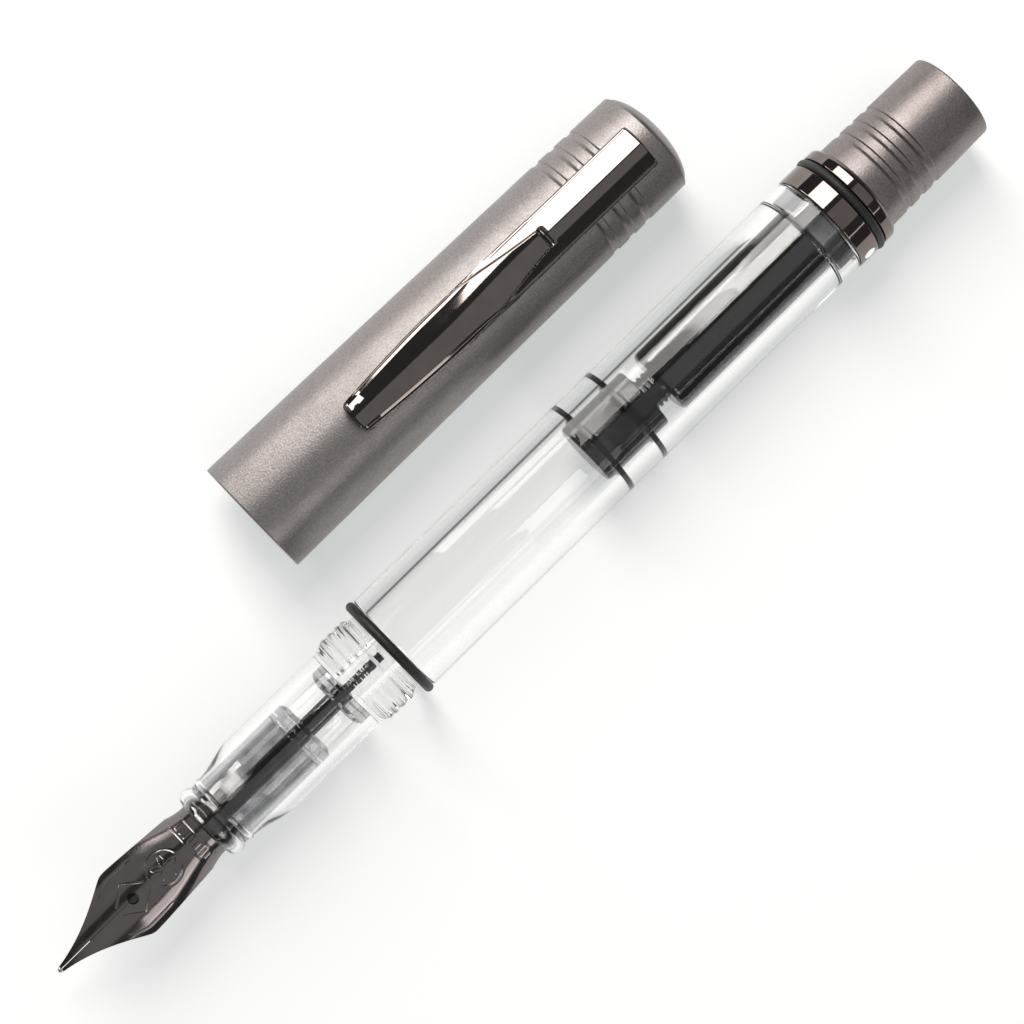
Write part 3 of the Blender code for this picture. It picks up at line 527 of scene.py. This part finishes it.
def nib_curve(station):
    """Radius of the rolled plate, larger towards the tines."""
    return NIB_CREST + 2.7 * MM * (1 - ease(station, NIB_SHOULDER + 2 * MM, NIB_TAIL - 3 * MM))


def nib_height(station):
    fall = max(0.0, (NIB_SHOULDER - station) / NIB_SHOULDER)
    return NIB_CREST - (NIB_CREST - NIB_TIP_HEIGHT) * fall ** 1.6


def groove(distance, width):
    """Depth share of an engraved line at a distance from its middle."""
    return math.exp(-(distance / (0.5 * width)) ** 2)


def rosette(station, side):
    """Five petals inside a ring."""
    x = station - EMBLEM
    reach = math.hypot(x, side)
    depth = groove(reach - EMBLEM_RING, 0.20 * MM)
    if reach < 0.85 * EMBLEM_RING:
        petal = 0.95 * MM + 0.55 * MM * math.cos(5 * math.atan2(side, x))
        depth = max(depth, groove(reach - petal, 0.16 * MM))
    return depth


def rhombus(station, side):
    """Rhombus round the breather hole, open at its front and rear corners."""
    if abs(side) <= 0.5 * MM:
        return 0.0
    around = abs(station - BREATHER) / (2.6 * MM) + abs(side) / (2.1 * MM)
    return groove((around - 1) * 1.6 * MM, 0.15 * MM)


def border(station, side):
    """A line inside each edge, along the shoulders."""
    fade = ease(station, 8.0 * MM, 9.5 * MM) * (1 - ease(station, 13.0 * MM, 14.5 * MM))
    return fade * groove(abs(side) - 0.80 * nib_half_width(station), 0.16 * MM)


def dashes(station, side):
    """A row of dashes between two lines, across the tail."""
    depth = 0.0
    if abs(station - DASHES) < 0.5 * MM and abs(side) < 2.55 * MM:
        depth = groove((side + 10 * MM) % DASH_PITCH - DASH_PITCH / 2, 0.2 * MM)
    if abs(side) < 2.7 * MM:
        for line in (DASHES - 0.8 * MM, DASHES + 0.8 * MM):
            depth = max(depth, groove(station - line, 0.14 * MM))
    return depth


def engraving(station, side):
    """Depth share of the plain ornament at a place on the nib."""
    return max(ornament(station, side) for ornament in (rosette, rhombus, border, dashes))


def make_nib():
    """Rolled plate of even thickness, engraved on top."""
    rows = 340
    columns = 140
    engrave_depth = 0.045 * MM
    sections = []
    for row in range(rows + 1):
        station = NIB_START + (NIB_TAIL - NIB_START) * row / rows
        radius = nib_curve(station)
        center = nib_height(station) - radius
        reach_angle = math.asin(min(0.97, nib_half_width(station) / radius))
        angles = [reach_angle * (2 * i / columns - 1) for i in range(columns + 1)]
        ring = []
        for angle in angles:
            reach = radius - engrave_depth * engraving(station, radius * math.sin(angle))
            ring.append((station, reach * math.sin(angle), center + reach * math.cos(angle)))
        reach = radius - NIB_THICKNESS
        for angle in reversed(angles):
            ring.append((station, reach * math.sin(angle), center + reach * math.cos(angle)))
        sections.append(ring)
    mesh = skin("nib_blade", sections, PEN_SPACE)
    nib = add_piece("nib_blade", mesh, NIB_PLATE, "pen_body", ["nib"], sharp=45)
    cut_nib(nib)
    return nib


def cut_nib(nib):
    """Cut the slit and the breather hole."""
    height = NIB_CREST - 1 * MM
    depth = 8 * MM
    slit = block("nib_slit", (-2 * MM, BREATHER), SLIT_HALF,
                 (height - depth / 2, height + depth / 2), PEN_SPACE)
    shape = bmesh.new()
    bmesh.ops.create_cone(shape, cap_ends=True, segments=48, radius1=BREATHER_RADIUS,
                          radius2=BREATHER_RADIUS, depth=depth)
    bmesh.ops.translate(shape, vec=(BREATHER, 0, height), verts=shape.verts)
    hole = close_mesh("breather_hole", shape, PEN_SPACE)
    for tool_mesh in (slit, hole):
        cut(nib, tool_mesh)


def make_nib_tipping():
    """Round writing ball, slightly flattened where it meets the paper."""
    low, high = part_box("nib_tipping")
    radius = (high.y - low.y) / 2
    outline = []
    for i in range(25):
        angle = math.pi * i / 24
        flattening = 1.0 if i < 12 else 0.5
        outline.append((radius - flattening * radius * math.cos(angle), radius * math.sin(angle)))
    outline[0] = (outline[0][0], 0)
    outline[-1] = (outline[-1][0], 0)
    lift = middle("nib_tipping").z - PEN_SPACE.translation.z
    space = PEN_SPACE @ Matrix.Translation((0, 0, lift))
    mesh = lathe("tipping_ball", outline, space, closed=False, sides=48)
    return add_piece("tipping_ball", mesh, STEEL, "pen_body", ["nib_tipping"])


def make_feed():
    """Finned ink feed under the nib, its neck and its thin tail with one waist."""
    start = pen_start("feed")
    end = pen_end("feed")
    wedge_end = NIB_TAIL - 0.1 * MM
    first_fin = 12.5 * MM
    last_fin = SECTION_START - 0.8 * MM
    fin_pitch = 0.62 * MM
    fin_gap = 0.28 * MM
    rows = 180
    sections = []
    for row in range(rows + 1):
        station = start + (wedge_end - start) * row / rows
        top = nib_height(station) - NIB_THICKNESS - 0.15 * MM
        depth = (0.9 + 4.7 * ease(station, start - 6 * MM, start + 13 * MM)) * MM
        half = min(2.6 * MM, 0.62 * nib_half_width(station))
        if first_fin < station < last_fin and (station - first_fin) % fin_pitch < fin_gap:
            depth *= 0.80
            half *= 0.72
        sections.append(oval(station, top, depth, half))
    tail = 0.58 * MM
    waist = 0.3 * tail
    sections.append(circle(wedge_end + 0.1 * MM, FEED_NECK))
    sections.append(circle(HOUSING_END, FEED_NECK))
    for behind, radius in ((0.15, tail), (2.0, tail), (2.05, waist), (2.45, waist), (2.5, tail)):
        sections.append(circle(HOUSING_END + behind * MM, radius))
    sections.append(circle(end - 0.1 * MM, tail))
    sections.append(circle(end, 0.8 * tail))
    mesh = skin("finned_feed", sections, PEN_SPACE)
    return add_piece("finned_feed", mesh, BLACK, "pen_body", ["feed"], sharp=30)


def make_housing():
    """Smoked sleeve that holds the nib and feed, and a thin clear neck between two flanges."""
    tube = GRIP_BORE - 0.05 * MM
    bore = tube - 0.5 * MM
    neck = 3.1 * MM
    neck_bore = neck - 0.22 * MM
    end_wall = 0.5 * MM
    feed_bore = FEED_NECK + 0.05 * MM
    nib_seat = NIB_CREST + 0.06 * MM
    sleeve_end = 35.9 * MM
    flange = sleeve_end + 0.25 * MM
    flange_end = flange + 1.3 * MM
    rear_start = HOUSING_END - 1.75 * MM
    rim = neck + 0.2 * MM
    corners = [(HOUSING_START, tube, 0.15 * MM), (sleeve_end, tube, 0.08 * MM), (sleeve_end, neck, 0),
               (flange, neck, 0), (flange, tube, 0.08 * MM), (flange + 0.9 * MM, tube, 0.15 * MM),
               (flange_end, rim, 0.1 * MM), (flange_end, neck, 0.05 * MM), (rear_start, neck, 0.05 * MM),
               (rear_start, rim, 0.1 * MM), (rear_start + 0.4 * MM, tube, 0.15 * MM),
               (HOUSING_END, tube, 0.15 * MM), (HOUSING_END, feed_bore, 0),
               (HOUSING_END - end_wall, feed_bore, 0), (HOUSING_END - end_wall, neck_bore, 0.2 * MM),
               (sleeve_end - end_wall, neck_bore, 0.1 * MM), (sleeve_end - end_wall, bore, 0.1 * MM),
               (NIB_TAIL + 0.2 * MM, bore, 0.05 * MM),
               (NIB_TAIL + 0.2 * MM, nib_seat, 0), (HOUSING_START, nib_seat, 0)]
    mesh = lathe("nib_collar", rounded(corners), PEN_SPACE)
    housing = add_piece("nib_collar", mesh, SMOKED, "pen_body", ["nib_housing"])
    mesh.materials.append(CLEAR)
    for face in mesh.polygons:
        if flange_end < face.center.x - TIP < rear_start:
            face.material_index = 1
    return housing


# ------------------------------------------------------------------ rings
def make_o_ring(name, node):
    """Plain round cord, not pressed flat anywhere."""
    station = middle(node).x - TIP
    outline = arc((station, O_RING_RADIUS - O_RING_CORD), O_RING_CORD, 0, 345, 23)
    mesh = lathe(name, outline, PEN_SPACE)
    return add_piece(name, mesh, RUBBER, "pen_body", [node])


def make_trim_ring():
    """Polished ring with a groove for the rear O-ring."""
    groove_half = O_RING_CORD + 0.04 * MM
    groove_floor = O_RING_RADIUS - 2 * O_RING_CORD - 0.05 * MM
    bore = 4.18 * MM
    left = REAR_O_RING - groove_half
    right = REAR_O_RING + groove_half
    corners = [(RING_START, bore, 0.1 * MM), (RING_START, RING_RADIUS, 0.18 * MM),
               (left, RING_RADIUS, 0.12 * MM), (left, groove_floor, 0.05 * MM),
               (right, groove_floor, 0.05 * MM), (right, RING_RADIUS, 0.12 * MM),
               (RING_END - 0.45 * MM, RING_RADIUS, 0.15 * MM), (RING_END, RING_RADIUS - 0.3 * MM, 0.2 * MM),
               (RING_END, bore, 0.1 * MM)]
    mesh = lathe("polished_ring", rounded(corners), PEN_SPACE)
    return add_piece("polished_ring", mesh, POLISHED_RING, "pen_body", ["trim_ring"])


def make_index_dot():
    """Enamel dot, slightly domed, flush with the ring."""
    place = middle("index_dot") - PEN_SPACE.translation
    outward = Vector((0, place.y, place.z)).normalized()
    radius = 0.74 * MM
    edge = 0.03 * MM
    dome = 0.06 * MM
    outline = [(0.0, 0.0), (0.0, radius)]
    for i in range(8, 0, -1):
        angle = math.pi / 2 * i / 8
        outline.append((edge + dome * math.cos(angle), radius * math.sin(angle)))
    outline.append((edge + dome, 0.0))
    turn = Vector((1, 0, 0)).rotation_difference(outward).to_matrix().to_4x4()
    seat = Vector((place.x, 0, 0)) + outward * (RING_RADIUS - edge)
    space = PEN_SPACE @ Matrix.Translation(seat) @ turn
    mesh = lathe("index_mark", outline, space, closed=False, sides=64)
    return add_piece("index_mark", mesh, ENAMEL, "pen_body", ["index_dot"])


# ------------------------------------------------------------------ piston
PISTON_FRONT = pen_start("piston_seal")
PISTON_REAR = pen_end("piston_seal")
PISTON_RADIUS = 3.84 * MM
HUB_RADIUS = 2.13 * MM
SLEEVE_RADIUS = 4.06 * MM


def make_piston_seal():
    """Hollow seal whose two thin lips press on the barrel's bore."""
    contact = RESERVOIR_RADIUS + 0.02 * MM
    bore_front = PISTON_FRONT + 2.9 * MM
    corners = [(PISTON_FRONT, 0, 0), (PISTON_FRONT, PISTON_RADIUS, 0.8 * MM)]
    for lip in (PISTON_FRONT + 1.5 * MM, PISTON_REAR - 2.5 * MM):
        corners += [(lip - 0.60 * MM, PISTON_RADIUS, 0.2 * MM), (lip - 0.32 * MM, contact, 0.06 * MM),
                    (lip + 0.32 * MM, contact, 0.06 * MM), (lip + 0.50 * MM, PISTON_RADIUS, 0.1 * MM)]
    corners += [(PISTON_REAR, PISTON_RADIUS, 0.3 * MM), (PISTON_REAR, HUB_RADIUS + FIT, 0.05 * MM),
                (bore_front, HUB_RADIUS + FIT, 0), (bore_front, 0, 0)]
    mesh = lathe("piston_head", rounded(corners), PEN_SPACE, closed=False)
    return add_piece("piston_head", mesh, DARK_SMOKED, "piston", ["piston_seal"])


def make_piston_hub():
    """Hub behind the seal, with two small grooves."""
    front = pen_start("piston_hub")
    rear = pen_end("piston_hub")
    corners = [(front, 0, 0), (front, HUB_RADIUS, 0)]
    floor = HUB_RADIUS - 0.25 * MM
    for near in (PISTON_REAR + 0.35 * MM, PISTON_REAR + 1.0 * MM):
        corners += [(near, HUB_RADIUS, 0.06 * MM), (near + 0.08 * MM, floor, 0.05 * MM),
                    (near + 0.27 * MM, floor, 0.05 * MM), (near + 0.35 * MM, HUB_RADIUS, 0.06 * MM)]
    corners += [(rear, HUB_RADIUS, 0.1 * MM), (rear, 0, 0)]
    mesh = lathe("ribbed_hub", rounded(corners), PEN_SPACE, closed=False)
    return add_piece("ribbed_hub", mesh, BLACK, "piston", ["piston_hub"])


def make_sleeve():
    """Guide sleeve with its rounded nose."""
    front = pen_start("piston_sleeve")
    rear = pen_end("piston_sleeve")
    bore = SLEEVE_RADIUS - 0.7 * MM
    rod_hole = 2.0 * MM
    nose_end = front + 1.5 * MM
    corners = [(front, rod_hole, 0.1 * MM), (front, SLEEVE_RADIUS, 0.7 * MM),
               (rear, SLEEVE_RADIUS, 0.1 * MM), (rear, bore, 0.1 * MM),
               (nose_end, bore, 0), (nose_end, rod_hole, 0)]
    mesh = lathe("guide_sleeve", rounded(corners), PEN_SPACE)
    return add_piece("guide_sleeve", mesh, BLACK, "pen_body", ["piston_sleeve"])


def make_wrench_collar():
    """Eight flats round the sleeve, where it seats in the barrel's counterbore."""
    front = COUNTERBORE_START + 0.3 * MM
    rear = RING_START - FIT
    corner_radius = 5.38 * MM
    chamfer = 0.35 * MM
    turn = Matrix.Rotation(math.radians(-27), 4, "X")
    bore = (SLEEVE_RADIUS + 0.02 * MM) / math.cos(math.pi / 8)
    outline = [(front, bore), (front, corner_radius - chamfer), (front + 0.5 * chamfer, corner_radius),
               (rear, corner_radius), (rear, bore)]
    mesh = lathe("wrench_collar", outline, PEN_SPACE @ turn, sides=8)
    collar = add_piece("wrench_collar", mesh, COLLAR_METAL, "pen_body")
    bevel = collar.modifiers.new("soft edges", "BEVEL")
    bevel.width = 0.08 * MM
    bevel.segments = 3
    bevel.angle_limit = math.radians(30)
    return collar


# ------------------------------------------------------------------ knob
def tapered_with_grooves(start, start_radius, end, end_radius, first, pitch, width, count):
    """Corners along a taper with shallow grooves: soft on the near side, crisp on the far side."""
    depth = 0.16 * MM

    def radius_at(station):
        return start_radius + (end_radius - start_radius) * (station - start) / (end - start)

    corners = [(start, start_radius, 0.12 * MM)]
    for i in range(count):
        left = first + i * pitch
        right = left + width
        corners.append((left, radius_at(left), 0.10 * MM))
        corners.append((left + 0.30 * width, radius_at(left) - depth, 0.10 * MM))
        corners.append((right - 0.12 * width, radius_at(right) - depth, 0.05 * MM))
        corners.append((right, radius_at(right), 0.05 * MM))
    corners.append((end, end_radius, 0.22 * MM))
    return corners


def make_knob():
    """Turning knob, bored for the sleeve and the drive screw."""
    front_radius = pen_radius("knob")
    end_radius = 5.47 * MM
    start = RING_END + 0.06 * MM
    bore = 4.36 * MM
    bore_end = 129.45 * MM
    pocket = 2.05 * MM
    pocket_end = 131.25 * MM
    corners = [(pocket_end, 0, 0), (pocket_end, pocket, 0), (bore_end, pocket, 0), (bore_end, bore, 0),
               (start, bore, 0.1 * MM)]
    corners += tapered_with_grooves(start, front_radius, KNOB_END, end_radius,
                                    KNOB_START + 2.2 * MM, 2.06 * MM, 1.0 * MM, 3)
    corners += [(KNOB_END, 0, 0)]
    mesh = lathe("piston_knob", rounded(corners), PEN_SPACE, closed=False)
    return add_piece("piston_knob", mesh, KNOB_SATIN, "knob", ["knob"])


# ------------------------------------------------------------------ cap
def cap_radius(station):
    """Outside of the tapered cap tube."""
    return CAP_MOUTH_RADIUS + (CAP_RIM_RADIUS - CAP_MOUTH_RADIUS) * station / CAP_LENGTH


def make_cap_tube():
    """Tapered tube with three grooves, a stepped bore and the slot for the clip's tang."""
    crown_seat = CAP_LENGTH - 1.0 * MM
    crown_bore = CAP_RIM_RADIUS - 0.27 * MM
    liner_bore = LINER_RADIUS + 0.10 * MM
    insert_bore = 6.3 * MM
    mouth_bore = 6.66 * MM
    corners = tapered_with_grooves(0, CAP_MOUTH_RADIUS, CAP_LENGTH, CAP_RIM_RADIUS,
                                   48.6 * MM, 2.43 * MM, 1.1 * MM, 3)
    corners += [(CAP_LENGTH, crown_bore, 0.05 * MM), (crown_seat, crown_bore, 0), (crown_seat, liner_bore, 0),
                (INSERT_SEAT[1], liner_bore, 0), (INSERT_SEAT[1], insert_bore, 0),
                (INSERT_SEAT[0], insert_bore, 0.1 * MM), (INSERT_SEAT[0], mouth_bore, 0.1 * MM),
                (0, mouth_bore, 0.12 * MM)]
    mesh = lathe("cap_barrel", rounded(corners), CAP_SPACE)
    tube = add_piece("cap_barrel", mesh, CAP_SATIN, "cap_shell", ["cap_tube"])
    slot = block("clip_slot", (CLIP_TOP - 1.85 * MM, CLIP_TOP), 2.70 * MM,
                 (CAP_RIM_RADIUS - 2 * MM, CAP_RIM_RADIUS + 2 * MM), CAP_SPACE)
    cut(tube, slot)
    return tube


def make_crown():
    """Domed end with a stepped plug that sits in the tube."""
    crown = CAP_RIM_RADIUS - 0.30 * MM
    plug = 5.93 * MM
    seat = CAP_LENGTH - 0.97 * MM
    plug_end = seat - 0.9 * MM
    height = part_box("cap_crown")[1].x - (CAP_SPACE @ Vector((CAP_LENGTH, 0, 0))).x
    dome = []
    for i in range(33):
        radius = crown * i / 32
        dome.append((CAP_LENGTH + height * (1 - (radius / crown) ** 2) ** 0.6, radius))
    outline = dome + [(seat, crown), (seat, plug), (plug_end, plug), (plug_end, 0)]
    mesh = lathe("domed_crown", outline, CAP_SPACE, closed=False)
    return add_piece("domed_crown", mesh, CAP_SATIN, "cap_shell", ["cap_crown"])


def make_inner_cap():
    """Thin cup that seals round the nib, with a hole for the crown's screw."""
    mouth = 10.2 * MM
    outside = 53.5 * MM
    inside = outside - 1.0 * MM
    bore = 5.45 * MM
    screw_hole = 1.22 * MM
    corners = [(mouth, LINER_RADIUS, 0.1 * MM), (outside, LINER_RADIUS, 0.5 * MM), (outside, screw_hole, 0),
               (inside, screw_hole, 0), (inside, bore, 0.6 * MM), (mouth, bore, 0.2 * MM)]
    mesh = lathe("cap_liner", rounded(corners), CAP_SPACE)
    return add_piece("cap_liner", mesh, BLACK, "cap_core", ["inner_cap"])


def insert_ridge(station, radius, angle):
    """The insert's inside thread; only its bore is raised."""
    start = 4.6 * MM
    last = start + (THREAD_TURNS + 0.5) * THREAD_PITCH
    if not (start - THREAD_PITCH < station < last) or radius > INSERT_BORE + FIT:
        return radius
    phase = ((station - start) / THREAD_PITCH - angle / TAU) % 1.0
    fade = ease(station, start - 0.3 * THREAD_PITCH, start + 0.5 * THREAD_PITCH)
    fade *= 1 - ease(station, last - 0.5 * THREAD_PITCH, last)
    return radius - 0.42 * MM * ease(1 - abs(phase - 0.5) / 0.42, 0.0, 0.75) * fade


def make_insert():
    """Threaded bush pressed into the cap's mouth."""
    start = INSERT_SEAT[0] + 0.1 * MM
    end = INSERT_SEAT[1] - 0.1 * MM
    outside = 6.2 * MM
    steps = 72
    inner = [(end - (end - start) * i / steps, INSERT_BORE) for i in range(steps + 1)]
    outline = [(start, outside), (end, outside)] + inner
    mesh = lathe("thread_bush", outline, CAP_SPACE, wobble=insert_ridge)
    return add_piece("thread_bush", mesh, BLACK, "cap_core", ["cap_thread_insert"])


# ------------------------------------------------------------------ clip
CLIP_TIP = 14.85 * MM
CLIP_TOP = 58.1 * MM
CLIP_STEP = 43.1 * MM           # where the raised tongue ends in a blunt prow
CLIP_LIFT = 0.35 * MM
RIDGE_HALF = 0.35 * MM          # half-width of the rounded ridge
FACET_EDGE = 2.4 * MM
STEEP_NEAR = math.tan(math.radians(13))
STEEP_FAR = math.tan(math.radians(28))
BAR_CREST = 1.15 * MM           # above the underside
NOTCH_DEPTH = 0.25 * MM         # between the tongue's prow and the bar
TONGUE_CROWN = 8.0 * MM         # radius of the tongue's crowned top


def quarter_round(distance, radius):
    """How far a rounded corner has fallen back at a distance from the edge."""
    share = min(1.0, max(0.0, distance / radius))
    return radius * (1 - math.sqrt(1 - (1 - share) ** 2))


def clip_half(station):
    """Half-width: a slowly widening blade and a straight bar, both with rounded ends."""
    if station > CLIP_STEP:
        return 2.75 * MM - quarter_round(CLIP_TOP - station, 0.5 * MM)
    widening = 0.55 * (CLIP_STEP - CLIP_TIP)
    belly = math.sin(math.pi / 2 * min(1.0, (station - CLIP_TIP) / widening))
    return (2.0 + 0.8 * belly) * MM - quarter_round(station - CLIP_TIP, 0.7 * MM)


def clip_lip(station):
    """How far the underside turns up at the tip."""
    return 0.8 * MM * (1 - ease(station, CLIP_TIP, CLIP_TIP + 2.6 * MM))


def clip_under(station):
    """Height of the underside: a shallow arch over the cap that turns up at the tip."""
    arch = math.sin(math.pi * (station - CLIP_TIP) / (CLIP_TOP - CLIP_TIP))
    return cap_radius(station) + CLIP_LIFT + 0.6 * MM * arch + clip_lip(station)


def roof_drop(reach):
    """How far the bar's roof has fallen from its ridge at a distance from the centre line."""
    if reach < RIDGE_HALF:
        return STEEP_NEAR * reach ** 2 / (2 * RIDGE_HALF)
    beyond = reach - RIDGE_HALF
    curl = 0.5 * (STEEP_FAR - STEEP_NEAR) * beyond ** 2 / (FACET_EDGE - RIDGE_HALF)
    return STEEP_NEAR * (RIDGE_HALF / 2 + beyond) + curl


def tongue_half(station):
    """Half-width of the raised tongue; it covers the blade and narrows to the prow."""
    share = ease(CLIP_STEP - station, -3.0 * MM, 16.0 * MM)
    return 1.02 * MM + 2.0 * MM * share - quarter_round(CLIP_STEP - station, 0.35 * MM)


def bar_height(station, reach):
    """Roof-shaped bar with a notch where the prow meets it; it sinks under the tongue."""
    behind = station - CLIP_STEP
    notch = groove(behind - 0.30 * MM, 0.55 * MM) * (1 - ease(reach, 0.9 * MM, 1.35 * MM))
    sunk = 0.3 * MM * ease(-behind, 8 * MM, 16 * MM)
    return BAR_CREST - roof_drop(min(reach, FACET_EDGE)) - NOTCH_DEPTH * notch - sunk


def tongue_height(station, side):
    """Gently crowned tongue, thinner towards its tip and twisted a little towards +side."""
    before_step = CLIP_STEP - station
    thinning = 0.30 * MM * ease(before_step, 8 * MM, CLIP_STEP - CLIP_TIP)
    twist = math.tan(math.radians(3)) * ease(before_step, 3 * MM, 15 * MM)
    return BAR_CREST + 0.04 * MM - thinning - side ** 2 / (2 * TONGUE_CROWN) - twist * side


def clip_top(station, side):
    """Height of the top above the underside."""
    reach = abs(side)
    before_step = CLIP_STEP - station
    half = tongue_half(station)
    inside = (1 - ease(reach, half - 0.12 * MM, half + 0.10 * MM)) * ease(before_step, 0.0, 0.2 * MM)
    bar = bar_height(station, reach)
    top = bar + max(0.0, tongue_height(station, side) - bar) * inside
    blade = ease(before_step, 4 * MM, 14 * MM)
    bevel = (0.35 + 0.80 * blade) * MM
    fall = (0.7 - 0.15 * blade) * quarter_round(clip_half(station) - reach, bevel)
    fall += 0.8 * quarter_round(station - CLIP_TIP, 0.7 * MM)
    fall += 0.8 * quarter_round(CLIP_TOP - station, 0.3 * MM)
    return max(0.12 * MM, top - 0.45 * clip_lip(station) - fall)


def make_clip():
    """Spring clip with the tang that holds it in the cap's slot."""
    rows = 460
    columns = 110
    sections = []
    for row in range(rows + 1):
        station = CLIP_TIP + (CLIP_TOP - CLIP_TIP) * row / rows
        half = max(0.1 * MM, clip_half(station))
        under = clip_under(station)
        ring = []
        for i in range(columns + 1):
            side = half * (2 * i / columns - 1)
            ring.append((station, side, under + clip_top(station, side)))
        ring += [(station, half * (1 - 2 * i / columns), under) for i in range(columns + 1)]
        sections.append(ring)
    mesh = skin("spring_clip", sections, CAP_SPACE)
    clip = add_piece("spring_clip", mesh, NICKEL, "clip", ["clip"], sharp=50)
    tang_end = CLIP_TOP - 0.1 * MM
    tang = block("clip_tang", (tang_end - 1.5 * MM, tang_end), 2.65 * MM,
                 (clip_under(CLIP_TOP) - 2.6 * MM, clip_under(CLIP_TOP) + 0.2 * MM), CAP_SPACE)
    cut(clip, tang, "UNION")
    return clip


# ------------------------------------------------------------------ stage, lights, camera
def make_floor():
    """A pale table that glows faintly, like paper on a light table, so that shadows stay soft."""
    bpy.ops.mesh.primitive_plane_add(size=3.0, location=(0, 0, 0))
    floor = bpy.context.object
    floor.name = "floor"
    material, tree, shader = start_material("paper_white", (0.80, 0.80, 0.80), 0.7)
    shader.inputs["Emission Color"].default_value = (0.94, 0.965, 0.96, 1)
    shader.inputs["Emission Strength"].default_value = 0.50
    tree.links.new(spread(tree, noise(tree, 60), 0.65, 0.75), shader.inputs["Roughness"])
    floor.data.materials.append(material)


def add_panel(name, lean, forward, distance, length, width, radiance, color=(1, 1, 1)):
    """A soft panel beside the object.

    lean is its angle from straight up, towards the cap when positive; forward is how far it
    is moved towards the knob; length runs along the pen and width across it.
    """
    target = (cad_low + cad_high) / 2
    angle = math.radians(lean)
    data = bpy.data.lights.new(name, "AREA")
    data.shape = "RECTANGLE"
    data.size = length
    data.size_y = width
    data.energy = radiance * math.pi * length * width
    data.color = color
    lamp = bpy.data.objects.new(name, data)
    bpy.context.scene.collection.objects.link(lamp)
    lamp.location = target + Vector((forward, distance * math.sin(angle), distance * math.cos(angle)))
    lamp.rotation_euler = (-angle, 0, 0)
    return lamp


def make_world(level):
    """Even, dim light from all round."""
    world = bpy.data.worlds.new("studio")
    world.use_nodes = True
    world.node_tree.nodes["Background"].inputs["Color"].default_value = (*level, 1)
    world.node_tree.nodes["Background"].inputs["Strength"].default_value = 1.0
    bpy.context.scene.world = world


FOCAL_SHARE = 2978 / 1024       # focal length in picture widths
PEN_HEADING = math.radians(44.45)   # the pen's direction in the picture, above horizontal
CAMERA_HEIGHT = 325.15 * MM     # above the pen's axis
CAMERA_TILT = math.radians(3.5)
CAMERA_TILT_HEADING = math.radians(47.5)


def make_camera():
    """Almost straight above the front O-ring, leaning a little towards the knob."""
    right = Vector((math.cos(PEN_HEADING), -math.sin(PEN_HEADING), 0))
    up = Vector((math.sin(PEN_HEADING), math.cos(PEN_HEADING), 0))
    lean = right * math.cos(CAMERA_TILT_HEADING) + up * math.sin(CAMERA_TILT_HEADING)
    data = bpy.data.cameras.new("camera")
    data.sensor_width = 36
    data.lens = 36 * FOCAL_SHARE
    camera = bpy.data.objects.new("camera", data)
    bpy.context.scene.collection.objects.link(camera)
    rotation = Matrix((right, up, (0, 0, 1))).transposed()
    swing = Matrix.Rotation(CAMERA_TILT, 3, Vector((0, 0, 1)).cross(lean))
    swing.invert()
    camera.matrix_world = Matrix.Translation(
        PEN_SPACE @ Vector((FRONT_O_RING, 0.1 * MM, CAMERA_HEIGHT))) @ (swing @ rotation).to_4x4()
    bpy.context.scene.camera = camera


def make_studio():
    """Floor, world and soft panels; rays don't focus through the barrel, so the floor stays even."""
    scene = bpy.context.scene
    scene.view_settings.view_transform = "Standard"
    scene.cycles.caustics_refractive = False
    scene.cycles.caustics_reflective = False
    scene.cycles.max_bounces = 24
    scene.cycles.transmission_bounces = 24
    scene.cycles.glossy_bounces = 8
    make_floor()
    make_world((0.09, 0.09, 0.09))
    warm = (1.0, 0.965, 0.93)
    add_panel("key_softbox", 38, 0.18, 0.6, 0.23, 0.46, 7.0, warm)
    add_panel("side_window", 70, 0.045, 0.6, 0.11, 0.22, 8.0, warm)
    add_panel("low_window", -55, -0.08, 0.6, 0.20, 0.23, 2.2, warm)
    add_panel("front_wall", 47, -0.33, 0.6, 0.56, 0.56, 0.32)
    add_panel("ceiling", -17, 0.0, 0.9, 1.6, 0.76, 0.36)
    add_panel("edge_strip", -61, 0.0, 0.7, 0.9, 0.03, 2.0)


# ------------------------------------------------------------------ build
make_camera()
make_barrel()
make_nib()
make_nib_tipping()
make_feed()
make_housing()
make_o_ring("front_seal_ring", "front_o_ring")
make_o_ring("rear_seal_ring", "rear_o_ring")
make_trim_ring()
make_index_dot()
make_piston_seal()
make_piston_hub()
make_sleeve()
make_wrench_collar()
make_knob()
make_cap_tube()
make_crown()
make_inner_cap()
make_insert()
make_clip()
KEPT_LOOKS = (("piston_rod", BLACK), ("drive_screw", STEEL), ("thrust_washer", WHITE_PLASTIC),
              ("crown_screw", STEEL))
for kept, look in KEPT_LOOKS:
    for material_slot in frame["nodes"][kept].material_slots:
        material_slot.material = look
make_studio()
